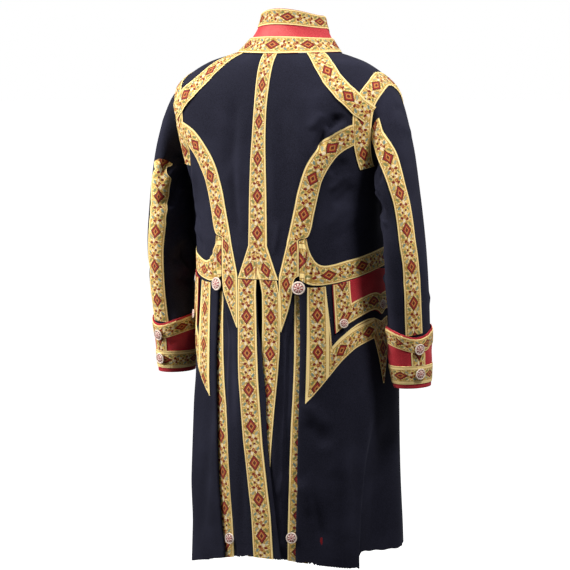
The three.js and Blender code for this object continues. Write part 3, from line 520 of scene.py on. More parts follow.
def curved(rows, corners=()):  # smooth through the rows, but sharp at the corners
    rows = np.array(rows, float)
    ends = [0, *corners, len(rows) - 1]
    out = [rows[:1]]
    for first, last in zip(ends[:-1], ends[1:]):
        if last > first:
            steps = np.linspace(0, last - first, (last - first) * 6 + 1)[1:]
            out.append(rowAt(rows[first:last + 1], steps))
    return np.vstack(out)


def asLevels(rows, side):
    return np.stack([rows[:, 0], levelAt(rows[:, 0] * side, rows[:, 1]),
                     rows[:, 2], levelAt(rows[:, 2] * side, rows[:, 3])], -1)


def subdivided(rows, count):
    shares = (np.arange(1, count + 1) / count)[:, None]
    return np.vstack([rows[:1]] + [mixed(a, b, shares) for a, b in zip(rows[:-1], rows[1:])])


def between(rows, shares):
    return [mixed(rows[:, k][:, None], rows[:, k + 2][:, None], shares[None, :]) for k in (0, 1)]


cloth = {"thick": 2.0, "step": 5.0}
seamGap = 0.12  # in degrees, on each side of the seams between a back panel and its forepart
sides = (("Left", 1, "left"), ("Right", -1, "right"))

# ---- back panels, from neck to hem, with the vent between them
backPanels = {"flat": (0.33, 0.98), "area": {"Left": 0.137, "Right": 0.121}, "held": "hung",
              "restsOn": ["collarCloth"], "underCols": 12}
shoulderSeam = [[57, 6], [57.6, -20], [60, -44], [64, -68], [70, -101]]
sideBackSeam = [[66, -147], [55, -167], [46, -197], [39, -241], [32, -300], [28, -355], [waistSide, -405]]
backOuter = shoulderSeam + [[72.4, -117], [72.6, -143]] + sideBackSeam
centreHeights = [6, -18, -42, -68, -100, -125, -150, -172, -195, -228, -268, -315, -362, -409.5]
# where moths have eaten the hem: side, angle, half width in degrees, depth in millimetres
hemBites = [(1, 2.6, 0.35, 3.5), (1, 3.9, 0.5, 6), (1, 5.2, 0.4, 4.5), (1, 6.6, 0.3, 2.5), (1, 9.4, 0.4, 2),
            (1, -9.5, 0.4, 2), (-1, 29.8, 0.45, 3.5), (-1, 31.2, 0.5, 6), (-1, 32.6, 0.45, 4.5),
            (-1, 34.6, 0.6, 5), (-1, 36.8, 0.4, 2.5), (-1, 15.0, 0.5, 2), (-1, 59.5, 0.7, 3), (1, 44, 0.6, 2)]


def hemLevel(side, angle):  # the last level that the cloth reaches
    bite = np.zeros(np.shape(angle))
    for where, middle, half, depth in hemBites:
        if where == side:
            bite = bite + depth * np.exp(-((angle - middle) / half) ** 2)
    return bodyEnd - np.clip(bite, 0, 11) / 207 - 0.004 * (1 + np.sin(angle * 4.7 + side))


for word, side, name in sides:
    base = np.array([[0.1, centreZ, angle - seamGap, z]
                     for centreZ, (angle, z) in zip(centreHeights, backOuter)])
    heights = np.concatenate([np.arange(-412, -425, -3), np.arange(-428, -958, -cloth["step"]), [-999]])
    fold = along(pleatFold[side], heights)
    start, end = dipSpan(fold, heights)
    free = along(ventEdge[side], heights) - (along(ventMargin, heights) if side > 0 else 0)
    reach = (fold + layers["underTurn"] - end) * smooth((-408 - heights) / 34) + 1
    share = np.linspace(0, 1, 37)[None, :]
    underShare = np.linspace(0, 1, backPanels["underCols"] + 1)[None, 1:]
    lower = np.hstack([mixed(free[:, None], start[:, None], share),
                       mixed(start[:, None], end[:, None], np.linspace(0, 1, 9)[None, 1:]),
                       end[:, None] + reach[:, None] * underShare])
    shares = (lower[0] - lower[0, 0]) / (lower[0, -1] - lower[0, 0])
    upper = asLevels(divided(base, cloth["step"]), side)
    upperAngle, upperLevel = between(upper, shares)
    lowerLevel = np.minimum(levelAt(lower * side, heights[:, None]), hemLevel(side, lower))
    angle, level = np.vstack([upperAngle, lower]), np.vstack([upperLevel, lowerLevel])
    outer = lifted(backs[side], angle * side, level, 0.0, bodyEnd)
    inner = lifted(backs[side], angle * side, level, -cloth["thick"], bodyEnd)
    panel = sheetMesh(f"back{word}Cloth", outer, inner, navyCloth, chartOf(outer))
    settle(panel, [f"back_{name}"])
print("back panels made")

# ---- foreparts, wrapped round the armholes: armhole angle and height, outline angle and height
frontEdge = 178.6
forepartRows = [
    [72.6, -111, 70, -101], [76, -88, 64, -68], [81, -70, 60, -44], [86, -60, 57.6, -20], [91, -55.5, 57, 6],
    [94, -57, 71, 6], [97, -61, 85, 6], [100, -68, 100, 6], [103, -77, 116, 6], [106, -90, 132, 6],
    [109, -104, 148, 6], [111, -119, 164, 6], [113, -134, frontEdge, 6], [114, -148, frontEdge, -115],
    [114, -163, frontEdge, -160], [113, -176, frontEdge, -200], [111, -189, frontEdge, -238],
    [108.5, -199, frontEdge, -290], [106, -207, frontEdge, -356], [102.5, -215, 164, -356.7],
    [99, -220.5, 148, -357.5], [95.5, -224, 130, -358.6], [92, -225.8, 113, -359.8], [88.6, -225, 96, -365.8],
    [85.5, -222, 79, -375.8], [82.6, -217.5, 64, -388], [80.2, -212, 50, -398.5], [78.2, -206.5, 38, -406.4],
    [77, -202, waistSide, -405], [76, -197, 28, -355], [75.1, -190, 32, -300], [74.4, -182, 39, -241],
    [73.8, -172, 46, -197], [73.3, -161, 55, -167], [73, -150.5, 66, -147]]
for word, side, name in sides:
    rows = np.array(forepartRows, float)
    rows[np.r_[:4, 28:len(rows)], 2] += seamGap
    angle, level = between(subdivided(asLevels(rows, side), 6), np.linspace(0, 1, 41))
    outer = lifted(coat, angle * side, level, 0.0, bodyEnd)
    inner = lifted(coat, angle * side, level, -cloth["thick"], bodyEnd)
    panel = sheetMesh(f"front{word}Cloth", outer, inner, navyCloth, chartOf(outer))
    settle(panel, [f"front_{name}"])
print("foreparts made")

# ---- skirts, turned under at the pleat fold
skirts = {"flat": (0.56, 0.60), "area": 0.304, "held": "hung", "restsOn": ["frontSideCloth"], "waistGap": 1}
frontFall = [[-356, 178.6], [-560, 177], [-962, 171]]
waistLine = [[27, -409.5], [40, -406], [59, -392], [85, -371], [110, -360], [180, -356]]
# the fold of the turned-in edge: degrees past the fold line, and millimetres under the surface
turnColumns = [[12, 4.4], [9, 4.4], [6, 4.4], [3.4, 4.35], [1.6, 4.15], [0.7, 3.5], [0.15, 2.9], [0, 2.2],
               [0.1, 1.4], [0.35, 0.6]]
tear = {"lean": 6, "size": (0.0021, 0.02, 0.0078), "colour": "#73191f", "fray": 420.0, "angle": -39.8,
        "z": -894}
tear["place"] = tuple(lifted(coat, tear["angle"], levelAt(tear["angle"], tear["z"]), 0.0, bodyEnd) / 1000)
tornCloth = fulledWool(navyWool, tear)


def foldedWall(grid, thick):
    padded = np.pad(grid, ((1, 1), (1, 1), (0, 0)), mode="edge")
    across = padded[1:-1, 2:] - padded[1:-1, :-2]
    down = padded[2:, 1:-1] - padded[:-2, 1:-1]
    normal = np.cross(down, across)
    normal /= np.linalg.norm(normal, axis=-1, keepdims=True) + 1e-12
    return grid + normal * thick / 2, grid - normal * thick / 2


for word, side, name in sides:
    drops = np.linspace(0, 1, 111)
    guess = mixed(-409, -945, drops)
    fold = along(pleatFold[side], guess)[:, None]
    last = along(frontFall, guess)[:, None]
    under = fold + np.array([over for over, _ in turnColumns])[None, :]
    beyond = np.concatenate([[0.8, 1.4, 2.0], np.arange(2.7, 30, 0.7), np.arange(30, 140, 1.15)])
    over = fold + beyond[None, :]
    edge = [mixed(over[:, -1:], last, tenth / 10) for tenth in range(1, 11)]
    angle = np.hstack([under, over] + edge)
    drop = np.zeros(angle.shape)
    drop[:, :len(turnColumns)] = [d for _, d in turnColumns]
    top = levelAt(angle * side, np.interp(angle, *np.array(waistLine).T) - skirts["waistGap"])
    level = mixed(top, np.maximum(hemLevel(side, angle), top + 0.1), drops[:, None])
    grid = lifted(coat, angle * side, level, -cloth["thick"] / 2 - drop, bodyEnd)
    outer, inner = foldedWall(grid, cloth["thick"])
    panel = sheetMesh(f"skirt{word}Cloth", outer, inner, tornCloth if side < 0 else navyCloth, chartOf(outer))
    settle(panel, [f"skirt_{name}"])
print("skirts made")

# ---- sleeves: armhole loop by sleeve angle, where 0 is the back, 90 the top and 270 underneath
armhole = np.array([
    [73.9, -150], [75.8, -99], [82.6, -69.5], [91, -59.5], [100.6, -75.5], [109.6, -112],
    [113.2, -160], [109.6, -192], [101.5, -215], [91.5, -223.5], [82.6, -215], [76.4, -195]])
# from sleeve angle and height to sleeve angle and height, then width and depth
sleeveCreases = np.array([
    [-40, -168, -8, -235, 7, -4.0], [-62, -195, -20, -262, 7, 3.0], [-80, -215, -34, -300, 7, -3.6],
    [-70, -262, -20, -330, 8, 2.4], [-95, -300, -30, -352, 7, -2.6], [-90, -345, -36, -372, 6, 2.4],
    [-100, -375, -30, -398, 7, -2.8], [-110, -405, -44, -412, 7, 2.0], [-95, -440, -40, -425, 6, -2.2],
    [-90, -470, -20, -520, 9, 1.8], [-70, -530, -10, -560, 8, -1.6], [150, -180, 190, -250, 8, -2.6],
    [160, -220, 215, -290, 9, 2.2], [200, -350, 262, -378, 7, -2.4], [196, -390, 258, -402, 7, 2.0],
    [190, -430, 250, -428, 7, -2.0], [60, -95, 120, -110, 9, -1.6], [50, -120, 130, -150, 12, 1.5],
    [20, -420, 70, -400, 9, -1.4], [120, -440, 165, -470, 10, 1.6], [80, -520, 130, -560, 10, -1.5],
    [-66, -258, 2, -290, 6, -2.6], [-58, -284, 4, -312, 6, 2.0], [-56, -350, -98, -432, 8, -3.2],
    [-84, -340, -104, -404, 7, 2.2], [-44, -428, -100, -440, 7, -2.6], [-30, -250, -84, -262, 7, 2.2]])
sleeveSet = {"flat": (0.36, 0.60), "area": 0.149, "held": "hung",
             "restsOn": ["frontSideCloth", "backSideCloth"], "around": 112, "down": 150,
             "seamMiddle": (93.5, -142), "seamSpread": 1.1, "seamDepths": (2.8, 4.6)}


def armholeSpot(side, sleeveAngle):
    a = np.mod(sleeveAngle, 360)
    i = np.minimum(np.floor(a / 30).astype(int), 11)
    before, start, end, after = (armhole[(i + k) % 12] for k in (-1, 0, 1, 2))
    angle, z = np.moveaxis(smoothRow(before, start, end, after, a / 30 - i), -1, 0)
    return angle, levelAt(side * angle, z)


def sleeveSurface(side):
    def ring(sleeveAngle, level):
        innerX, innerZ, outerX, outerZ, yMid, halfDepth = np.moveaxis(rowAt(sleeveRings, level), -1, 0)
        s, c = np.sin(np.radians(sleeveAngle)), np.cos(np.radians(sleeveAngle))
        return np.stack([side * mixed(innerX, outerX, (1 + s) / 2), yMid + halfDepth * c,
                         mixed(innerZ, outerZ, (1 + s) / 2)], -1)

    def surface(sleeveAngle, level):
        sleeveAngle, level = np.broadcast_arrays(np.asarray(sleeveAngle, float), np.asarray(level, float))
        p = ring(sleeveAngle, level)
        angle, at = armholeSpot(side, sleeveAngle)
        pull = np.clip(1 - level / 3, 0, 1) ** 2
        p = p + (bodyPoint(side * angle, at) - ring(sleeveAngle, np.zeros(p.shape[:-1]))) * pull[..., None]
        z = p[..., 2]
        turn = np.radians(sleeveAngle)
        crease = 1.6 * np.sin(z / 17 + sleeveAngle / 40) * smooth((-280 - z) / 60) * smooth((z + 470) / 60)
        crease = crease * np.maximum(np.cos(np.radians(sleeveAngle - 240)), 0)
        near = np.mod(sleeveAngle + 110, 360) - 110
        clearOfEnds = smooth((z + 575) / 20) * smooth((level - 0.2) / 0.5)
        crease = crease + creased(sleeveCreases, near, z, 0.9) * clearOfEnds
        if side > 0:  # the left forearm swells towards the waist, the right one falls in
            shape = 10 * np.exp(-((near - 240) / 28) ** 2) * smooth((-235 - z) / 50) * smooth((z + 428) / 36)
        else:
            fall = smooth((-256 - z) / 30) * mixed(13, 7.5, smooth((-330 - z) / 120)) * smooth((z + 560) / 60)
            shape = 3.5 * np.exp(-((near + 55) / 22) ** 2) * np.exp(-((z + 240) / 16) ** 2)
            shape = shape - fall * (np.exp(-((near + 62) / 42) ** 2) + np.exp(-((near - 298) / 42) ** 2))
        crease = crease * 1.9 + shape
        p[..., 0] += side * crease * np.sin(turn)
        p[..., 1] += crease * np.cos(turn)
        return p

    def centre(p, level):
        rings = rowAt(sleeveRings, np.maximum(level, 0.02))
        innerX, innerZ, outerX, outerZ, yMid, _ = np.moveaxis(rings, -1, 0)
        return np.stack([side * (innerX + outerX) / 2, yMid, (innerZ + outerZ) / 2], -1)
    surface.centre = centre
    return surface


sleeveForms = {1: sleeveSurface(1), -1: sleeveSurface(-1)}


def seamAllowance(side, around, depth):  # the sleeve's edge, turned in under the armhole
    angle, level = armholeSpot(side, np.arange(around) * 360 / around)
    z = bodyPoint(side * angle, level)[..., 2]
    (middleAngle, middleZ), spread = sleeveSet["seamMiddle"], sleeveSet["seamSpread"]
    angle = middleAngle + (angle - middleAngle) * spread
    z = middleZ + (z - middleZ) * spread
    return lifted(coat, side * angle, levelAt(side * angle, z), -depth, bodyEnd)[None]


def tube(name, surface, levels, around, lift, thick, material, edge=False, scale=1.0, seam=None):
    turns = np.arange(around)[None, :] * 360 / around
    levels = levels[:, None] if levels.ndim == 1 else levels
    outer = lifted(surface, turns, levels, lift, sleeveEnd)
    inner = lifted(surface, turns, levels, np.asarray(lift) - thick, sleeveEnd)
    if seam is not None:
        outer, inner = np.vstack([seam[0], outer]), np.vstack([seam[1], inner])
        levels = np.vstack([levels[:1], levels])
    closed = np.concatenate([outer, outer[:, :1]], 1)
    down = spans(closed, 0)
    round_ = np.repeat(spans(closed, 1)[len(levels) // 2][None, :], len(levels), 0)
    if edge:
        wide = down[-1:] + 0 * down
        uv = np.stack([(down - wide / 2) * scale, round_], -1)
        fromEdge = np.minimum(down, wide - down)[:, :-1] * scale
        return sheetMesh(name, outer, inner, material, uv, fromEdge, True)
    return sheetMesh(name, outer, inner, material, np.stack([round_, down], -1), ring=True)


for word, side, name in sides:
    levels = np.concatenate([np.linspace(0, 0.6, 13), np.linspace(0.65, 8.9, sleeveSet["down"])])
    allowance = [seamAllowance(side, sleeveSet["around"], depth) for depth in sleeveSet["seamDepths"]]
    panel = tube(f"sleeve{word}Cloth", sleeveForms[side], levels, sleeveSet["around"], 0.0, cloth["thick"],
                 navyCloth, seam=allowance)
    settle(panel, [f"sleeve_{name}"])
print("sleeves made")

# ---- turned-back cuffs with two bands of lace and an upright strip
cuffSet = {"flat": (0.33, 0.094), "held": "folded", "restsOn": ["sleeveSideCloth"], "rise": 3.8,
           "rolled": 0.3, "around": 112, "laceAround": 144, "laceWidth": 26, "stripHalf": 19}
cuffRows = {"foot": 9, "lowEnd": 8.88, "lowStart": 8.39, "highEnd": 8.06, "highStart": 7.765, "top": 7.73}
cuffDip = {"rise": 0.2, "reach": 55}  # in levels and degrees: the upper edge dips at the back seam
sleeveLaceAngle = {1: 12, -1: 52}
lace = {"width": 35, "rise": 0.55, "thick": 1.0, "step": 4.0, "across": 10}
laceLift = lace["rise"] + lace["thick"]


def cushioned(shares, depth=0.45):  # a ribbon's edges roll down a little
    return -depth * (np.exp(-(shares / 0.06)) + np.exp(-((1 - shares) / 0.06)))


def laceSheet(name, surface, side, angle, level, lift, last, anchor="middle", chart=None):
    shares = np.linspace(0, 1, angle.shape[1])[None, :]
    rise = lift + cushioned(shares) + 0 * angle
    outer = lifted(surface, angle * side, level, rise, last)
    inner = lifted(surface, angle * side, level, lift - lace["thick"] + 0 * angle, last)
    across = spans(outer, 1)
    run = spans(outer, 0)
    middle = run.mean(1, keepdims=True) + 0 * run
    if chart is None:  # true distances along and across the ribbon, where its rows run slanting
        line = outer.mean(1)
        heading = np.gradient(line, axis=0)
        heading /= np.linalg.norm(heading, axis=-1, keepdims=True)
        away = outer - line[:, None]
        ahead = np.sum(away * heading[:, None], -1)
        aside = np.sign(shares - 0.5) * np.sqrt(np.maximum(np.sum(away ** 2, -1) - ahead ** 2, 0))
        across = aside - aside[:, :1]
        middle = spans(line[:, None], 0) + ahead
    width = np.maximum(across[:, -1:], 0.5)
    edge = np.minimum(across, width - across)
    half = lace["width"] / 2
    scale = mixed(lace["width"] / width, 1.0, smooth((np.abs(width - 36) - 9) / 6))
    if chart is not None:
        u, v, edge = chart(angle, level, outer, across, width, middle, edge)
    elif anchor == "start":
        u, v = across * scale - half, middle
    elif anchor == "mitre":  # its turned end shows no selvedge
        plain = smooth((34.2 - angle) / 1.6)
        u, v, edge = (across - width / 2) * scale * (1 - 0.35 * plain), middle, edge + 12 * plain
    elif anchor == "both":
        u, v = np.where(shares <= 0.5, across * scale - half, half - (width - across) * scale), middle
    else:
        u, v = (across - width / 2) * scale, middle
    uv = np.stack([u + 0 * across, v], -1)
    return sheetMesh(name, outer, inner, laceCloth, uv, edge)


def laceOn(name, side, rows, surface, lift, anchor="middle", across=None, chart=None, extra=None):
    levels = asLevels(divided(rows, lace["step"]), side)
    angle, level = between(levels, np.linspace(0, 1, (across or lace["across"]) + 1))
    rise = lift if extra is None else lift + extra(angle, level)
    return laceSheet(name, surface, side, angle, level, rise, bodyEnd, anchor, chart)


def dipped(levels, side, around):
    turns = np.arange(around)[None, :] * 360 / around
    away = np.mod(turns - sleeveLaceAngle[side] + 180, 360) - 180
    fade = 1 - smooth((levels[:, None] - cuffRows["highEnd"]) / (cuffRows["lowStart"] - cuffRows["highEnd"]))
    return levels[:, None] - cuffDip["rise"] * (1 - np.exp(-(away / cuffDip["reach"]) ** 2)) * fade


for word, side, name in sides:
    form = sleeveForms[side]
    levels = np.concatenate([[cuffRows["top"]], np.linspace(7.74, 8.99, 34), [cuffRows["foot"]]])
    around, laceAround = cuffSet["around"], cuffSet["laceAround"]
    rise = np.full((len(levels), around), cuffSet["rise"])
    rise[[0, -1]] -= cuffSet["rolled"]
    panel = tube(f"cuff{word}Cloth", form, dipped(levels, side, around), around, rise, cloth["thick"],
                 redCloth)
    settle(panel, [f"cuff_{name}"])
    top = cuffSet["rise"] + laceLift
    for band, first, last in (("Top", "highStart", "highEnd"), ("Foot", "lowStart", "lowEnd")):
        levels = np.linspace(cuffRows[first], cuffRows[last], 13)
        rise = top + cushioned(np.linspace(0, 1, 13))[:, None] + np.zeros((1, laceAround))
        ribbon = tube(f"cuff{band}{word}Lace", form, dipped(levels, side, laceAround), laceAround, rise,
                      lace["thick"], laceCloth, True, lace["width"] / cuffSet["laceWidth"])
        settle(ribbon, [f"lace_cuff_{band.lower()}_{name}"])
    middle, reach = sleeveLaceAngle[side], cuffSet["stripHalf"]
    angle = mixed(middle - reach, middle + reach, np.linspace(0, 1, 13))[None, :] + np.zeros((12, 1))
    level = np.linspace(cuffRows["highEnd"] + 0.005, cuffRows["lowStart"] - 0.005, 12)[:, None] + 0 * angle
    ribbon = laceSheet(f"cuffStrip{word}Lace", form, 1, angle, level, top, sleeveEnd)
    settle(ribbon, [f"lace_cuff_strip_{name}"])
print("cuffs made")

# ---- stand collar, leaning in to the neck and open at the throat
collarSet = {"flat": (0.54, 0.095), "area": 0.035, "held": "stretched",
             "restsOn": ["backLeftCloth", "backRightCloth"], "end": 171, "halfWidth": 60, "yMid": -5,
             "yBack": 58, "yFront": -66, "zBack": 83, "zSide": 70, "zFront": -8}


def collarForm(angle, level):
    angle, level = np.broadcast_arrays(np.asarray(angle, float), np.asarray(level, float))
    base = bodyPoint(angle, np.zeros(angle.shape))
    s, c = np.sin(np.radians(angle)), np.cos(np.radians(angle))
    yMid, zSide = collarSet["yMid"], collarSet["zSide"]
    depth = np.where(c >= 0, collarSet["yBack"] - yMid, yMid - collarSet["yFront"])
    r = ((s / collarSet["halfWidth"]) ** 2 + (c / depth) ** 2) ** -0.5
    zTop = zSide + (np.where(c >= 0, collarSet["zBack"], collarSet["zFront"]) - zSide) * c * c
    lean = 1 - (1 - level) ** 1.7
    wobble = 0.9 * np.sin(np.radians(angle * 3 + 40)) * np.sin(level * 3.1)
    wobble = wobble + 0.5 * np.sin(np.radians(angle * 7))
    p = np.stack([mixed(base[..., 0], r * s, lean), mixed(base[..., 1], yMid + r * c, lean),
                  mixed(base[..., 2] + 0.5, zTop, level)], -1)
    p[..., 0] += wobble * s
    p[..., 1] += wobble * c
    return p


collarForm.centre = lambda p, level: np.array([0, 10, 20]) + 0 * p


def collarGrid(first, last, rows, cols):
    angle = np.linspace(-collarSet["end"], collarSet["end"], cols)[None, :] + np.zeros((rows, 1))
    return angle, np.linspace(first, last, rows)[:, None] + 0 * angle


angle, level = collarGrid(0.02, 1, 22, 180)
outer = lifted(collarForm, angle, level, 0.0, 1)
inner = lifted(collarForm, angle, level, -cloth["thick"], 1)
# the collar takes the paler copy of the red wool, with painted light
settle(sheetMesh("collarCloth", outer, inner, collarLitRed, chartOf(outer)), ["collar"])
for word, first, last, rise in (("base", -0.015, 0.36, 1.4), ("top", 0.64, 0.99, 0.35)):
    angle, level = collarGrid(first, last, 11, 180)
    ribbon = laceSheet(f"collar{word.capitalize()}Lace", collarForm, 1, angle.T, level.T, laceLift + rise, 1)
    settle(ribbon, [f"lace_collar_{word}"])
print("collar made")

# ---- centre-back lace, opening to a fan above the vent
# half its width in degrees, at each height
centreHalves = [[10.2, 6], [9.0, -18], [8.3, -42], [7.5, -90], [7.1, -150], [6.9, -220], [6.9, -290],
                [7.1, -352], [15.1, -413.5]]
centreRows = [[-reach, z, reach, z] for reach, z in centreHalves]
ribbon = laceOn("centreBackLace", 1, centreRows, coat, laceLift, "both", 16)
settle(ribbon, ["lace_centre_back"])

# ---- vent laces along the free edges
ventLace = {"flat": {"Left": (0.039, 0.53), "Right": (0.0355, 0.53)}, "held": "laid",
            "restsOn": ["backSideCloth"],
            "widths": {1: [[-416, 14], [-924, 12.4]], -1: [[-416, 12.2], [-924, 12]]}}
ventHeights = [-414.8, -440, -480, -540, -600, -660, -722, -780, -850, -999]

# ---- side-back laces, from the armhole down the curved seam to a point below the waist
sideBackRows = [[70.5, -125, 70.5, -160], [66, -127, 66, -163], [56, -143, 56, -184],
                [46, -172, 46.5, -224], [37, -205, 42.5, -252], [30, -248, 38.7, -292],
                [26.5, -283, 36.8, -318], [23.2, -321, 34.3, -334], [21.6, -340, 29, -339.5],
                [20.5, -355, 28.9, -354], [16, -404, 28.7, -405]]
sideBackTip = {1: [[15.6, -413.5, 28.4, -413], [15.4, -440, 26.6, -441], [14.9, -475, 20.2, -476],
                   [14.4, -505, 15, -505.5]],
               -1: [[15.6, -413.5, 25.6, -413], [15.7, -440, 24, -441], [15.7, -475, 20.6, -476],
                    [15.7, -509, 16.3, -509.5]]}

# ---- waist laces, mitred and gathered behind the hip
waistLace = {"flat": (0.045, 0.47), "area": 0.0179, "held": "gathered", "restsOn": ["skirtSideCloth"],
             "gatherMm": 1.9, "gatherFrom": 29.2, "gatherTo": 46}
waistRows = [[29.2, -341, 29.2, -411.5], [31.6, -338.5, 30.6, -414.5], [33.9, -336.5, 32.2, -417],
             [34.6, -350, 33.8, -419], [35.9, -362, 35.4, -420.8], [37.7, -373, 37.6, -421.8],
             [40.5, -382.5, 40.5, -422], [44.6, -386, 44.6, -420.8], [50, -383.5, 50, -418.3],
             [54, -380, 54, -415.6], [59, -376, 59, -411.8], [64.6, -372.3, 64.6, -407.6],
             [72, -366, 72, -401.3], [85, -356.5, 85, -391.5], [98, -350.5, 98, -385.5],
             [110, -347, 110, -382], [140, -344.5, 140, -379.5], [178.2, -343.5, 178.2, -378.5]]


def gathers(angle, level):  # short ridges that fan out from the mitre
    share = (angle - waistLace["gatherFrom"]) / (waistLace["gatherTo"] - waistLace["gatherFrom"])
    across = np.linspace(0, 1, angle.shape[1])[None, :]
    ridge = np.abs(np.sin(share * 19 + across * 2.2)) ** 2
    return waistLace["gatherMm"] * ridge * smooth(share / 0.2) * smooth((1 - share) / 0.25)


shoulderLine = [[57, 6], [57.6, -20], [60, -44], [64, -68], [69, -95], [73.4, -110]]
armholeRun = np.linspace(142, -24, 67)
armholeTail = {"from": 26, "inset": 7, "outerDrop": 11, "innerDrop": 5}
pleatLace = {"flat": (0.036, 0.53), "held": "laid", "restsOn": ["backSideCloth"], "angle": 12.2,
             "inner": {1: [[-430, 30.5], [-520, 29.4], [-606, 27.2], [-674, 23.8], [-745, 21.2],
                           [-813, 18.6], [-885, 16.8], [-925, 14.8]],
                       -1: [[-430, 25.4], [-596, 24.2], [-660, 22.8], [-780, 21.5], [-925, 20.5]]}}
pleatHeights = [-441, -500, -560, -620, -680, -750, -820, -870, -999]

# ---- pockets: an upright lace at each end and one in the middle, joined by curves. Half of it.
pocketSet = {"middle": 80, "shift": {1: 6, -1: 0}, "flapRise": 3.2}
pocketRows = [[33.7, -426, 31, -640], [36.5, -426, 35, -627], [40, -426, 41, -604], [44.6, -424, 47, -580],
              [45.1, -540, 48.2, -575], [50.7, -521, 53, -558], [59.4, -500, 60, -540], [68, -488, 67, -530],
              [74, -486, 73.2, -524], [76.8, -489, 76.8, -566], [79.4, -493, 79.6, -610]]
flapRows = [[48.5, -421, 48.5, -511], [53, -418.6, 53, -500], [59, -413.6, 59, -489],
            [65, -408.7, 65, -480], [71, -403.3, 71, -473], [75, -399.8, 75, -471.5],
            [77.5, -397.8, 77.5, -475], [79.6, -395.8, 79.6, -481]]
flapLaceRows = [[48.9, -421.5, 58.6, -414.6], [48.9, -450, 58.7, -440], [48.9, -510, 59, -456],
                [53, -499.4, 61, -452.5], [59, -488.4, 63.6, -449], [65, -479.4, 67.2, -445],
                [71, -472.4, 71.6, -440.5], [75, -471, 75.3, -439], [77.5, -474.4, 77.8, -440.5],
                [79.6, -480.4, 79.6, -443]]


def bothHalves(rows, shift, fall):
    turned = [[2 * pocketSet["middle"] - a, zA + fall(a), 2 * pocketSet["middle"] - b, zB]
              for a, zA, b, zB in reversed(rows)]
    return [[a + shift, zA, b + shift, zB] for a, zA, b, zB in rows + turned]


def pocketChart(shift):
    middle, half = pocketSet["middle"] + shift, lace["width"] / 2

    def chart(angle, level, points, across, width, run, edge):
        z = points[..., 2]
        away = np.abs(angle - middle)
        first = angle[:, :1]
        upright = np.abs(first - middle) > middle - shift - 44.8
        dagger = np.abs(first - middle) < 3.4
        left = np.interp(z, [-640, -604, -426], [49, 47.6, 46.3])
        u = np.where(upright, (left - away) / 10.9 * lace["width"] - half, half - (width - across))
        u = np.where(dagger & (z < -500), (away - 0.2) * 3.6 * np.sign(angle - middle), u)
        v = np.where(upright | dagger, -z, run)
        right = np.interp(z, [-541, -424], [33.5, 35.4]) + 30 * (z < -541)
        side = np.minimum(left - away, away - right) * 3.2
        beside = np.minimum(np.where(z < -541, edge, 99), np.maximum(left - away, 0) * 3.2)
        edge = np.where(upright, beside, edge)
        edge = np.where(upright & (z >= -541), np.minimum(edge, np.maximum(side, 0)), edge)
        return u, v, edge
    return chart


def edgesBeside(line, widthOne, widthTwo, surface, side):
    angle, level = np.array(line, float).T
    spots = surface(angle * side, np.maximum(level, 0))
    run = np.gradient(spots, axis=0)
    safe = np.maximum(level, 0.06)
    perAngle = surface((angle + 0.5) * side, safe) - surface((angle - 0.5) * side, safe)
    perLevel = (surface(angle * side, safe + 0.05) - surface(angle * side, safe - 0.05)) * 10
    across = np.cross(run, np.cross(perAngle, perLevel))
    across /= np.linalg.norm(across, axis=-1, keepdims=True)
    pairs = (perAngle, perAngle), (perAngle, perLevel), (perLevel, perLevel)
    aa, ab, bb = (np.sum(p * q, -1) for p, q in pairs)
    pa, pb = np.sum(across * perAngle, -1), np.sum(across * perLevel, -1)
    det = aa * bb - ab * ab
    stepAngle, stepLevel = (pa * bb - pb * ab) / det, (pb * aa - pa * ab) / det
    return np.stack([angle + stepAngle * widthOne, np.maximum(level + stepLevel * widthOne, 0),
                     angle - stepAngle * widthTwo, np.maximum(level - stepLevel * widthTwo, 0)], -1)


# the sleeve laces' middle lines, by sleeve angle and level
sleeveLace = {"flat": {"Left": (0.035, 0.354), "Right": (0.035, 0.427)}, "held": "laid",
              "restsOn": ["sleeveSideCloth"],
              "path": {1: [[-7, 2.55], [-9, 3], [-9, 3.6], [-6, 4.6], [-1, 5.5], [5, 6.2], [8, 7], [9, 7.68]],
                       -1: [[17, 0.06], [11, 0.9], [12, 1.7], [21, 2.8], [34, 3.7], [43, 4.4], [46, 5.1],
                            [47, 5.7], [50, 6.2], [49, 6.8], [47, 7.3], [46, 7.68]]}}


def flapTop(angle):  # the flap's upper edge falls away from its middle
    return (pocketSet["middle"] - angle) * 0.62


def flapLaceFall(angle):  # only the lace's outermost points follow that edge
    return flapTop(angle) if angle < 49 else 0


def pocketFall(angle):
    return 36 if angle < 45 else 0


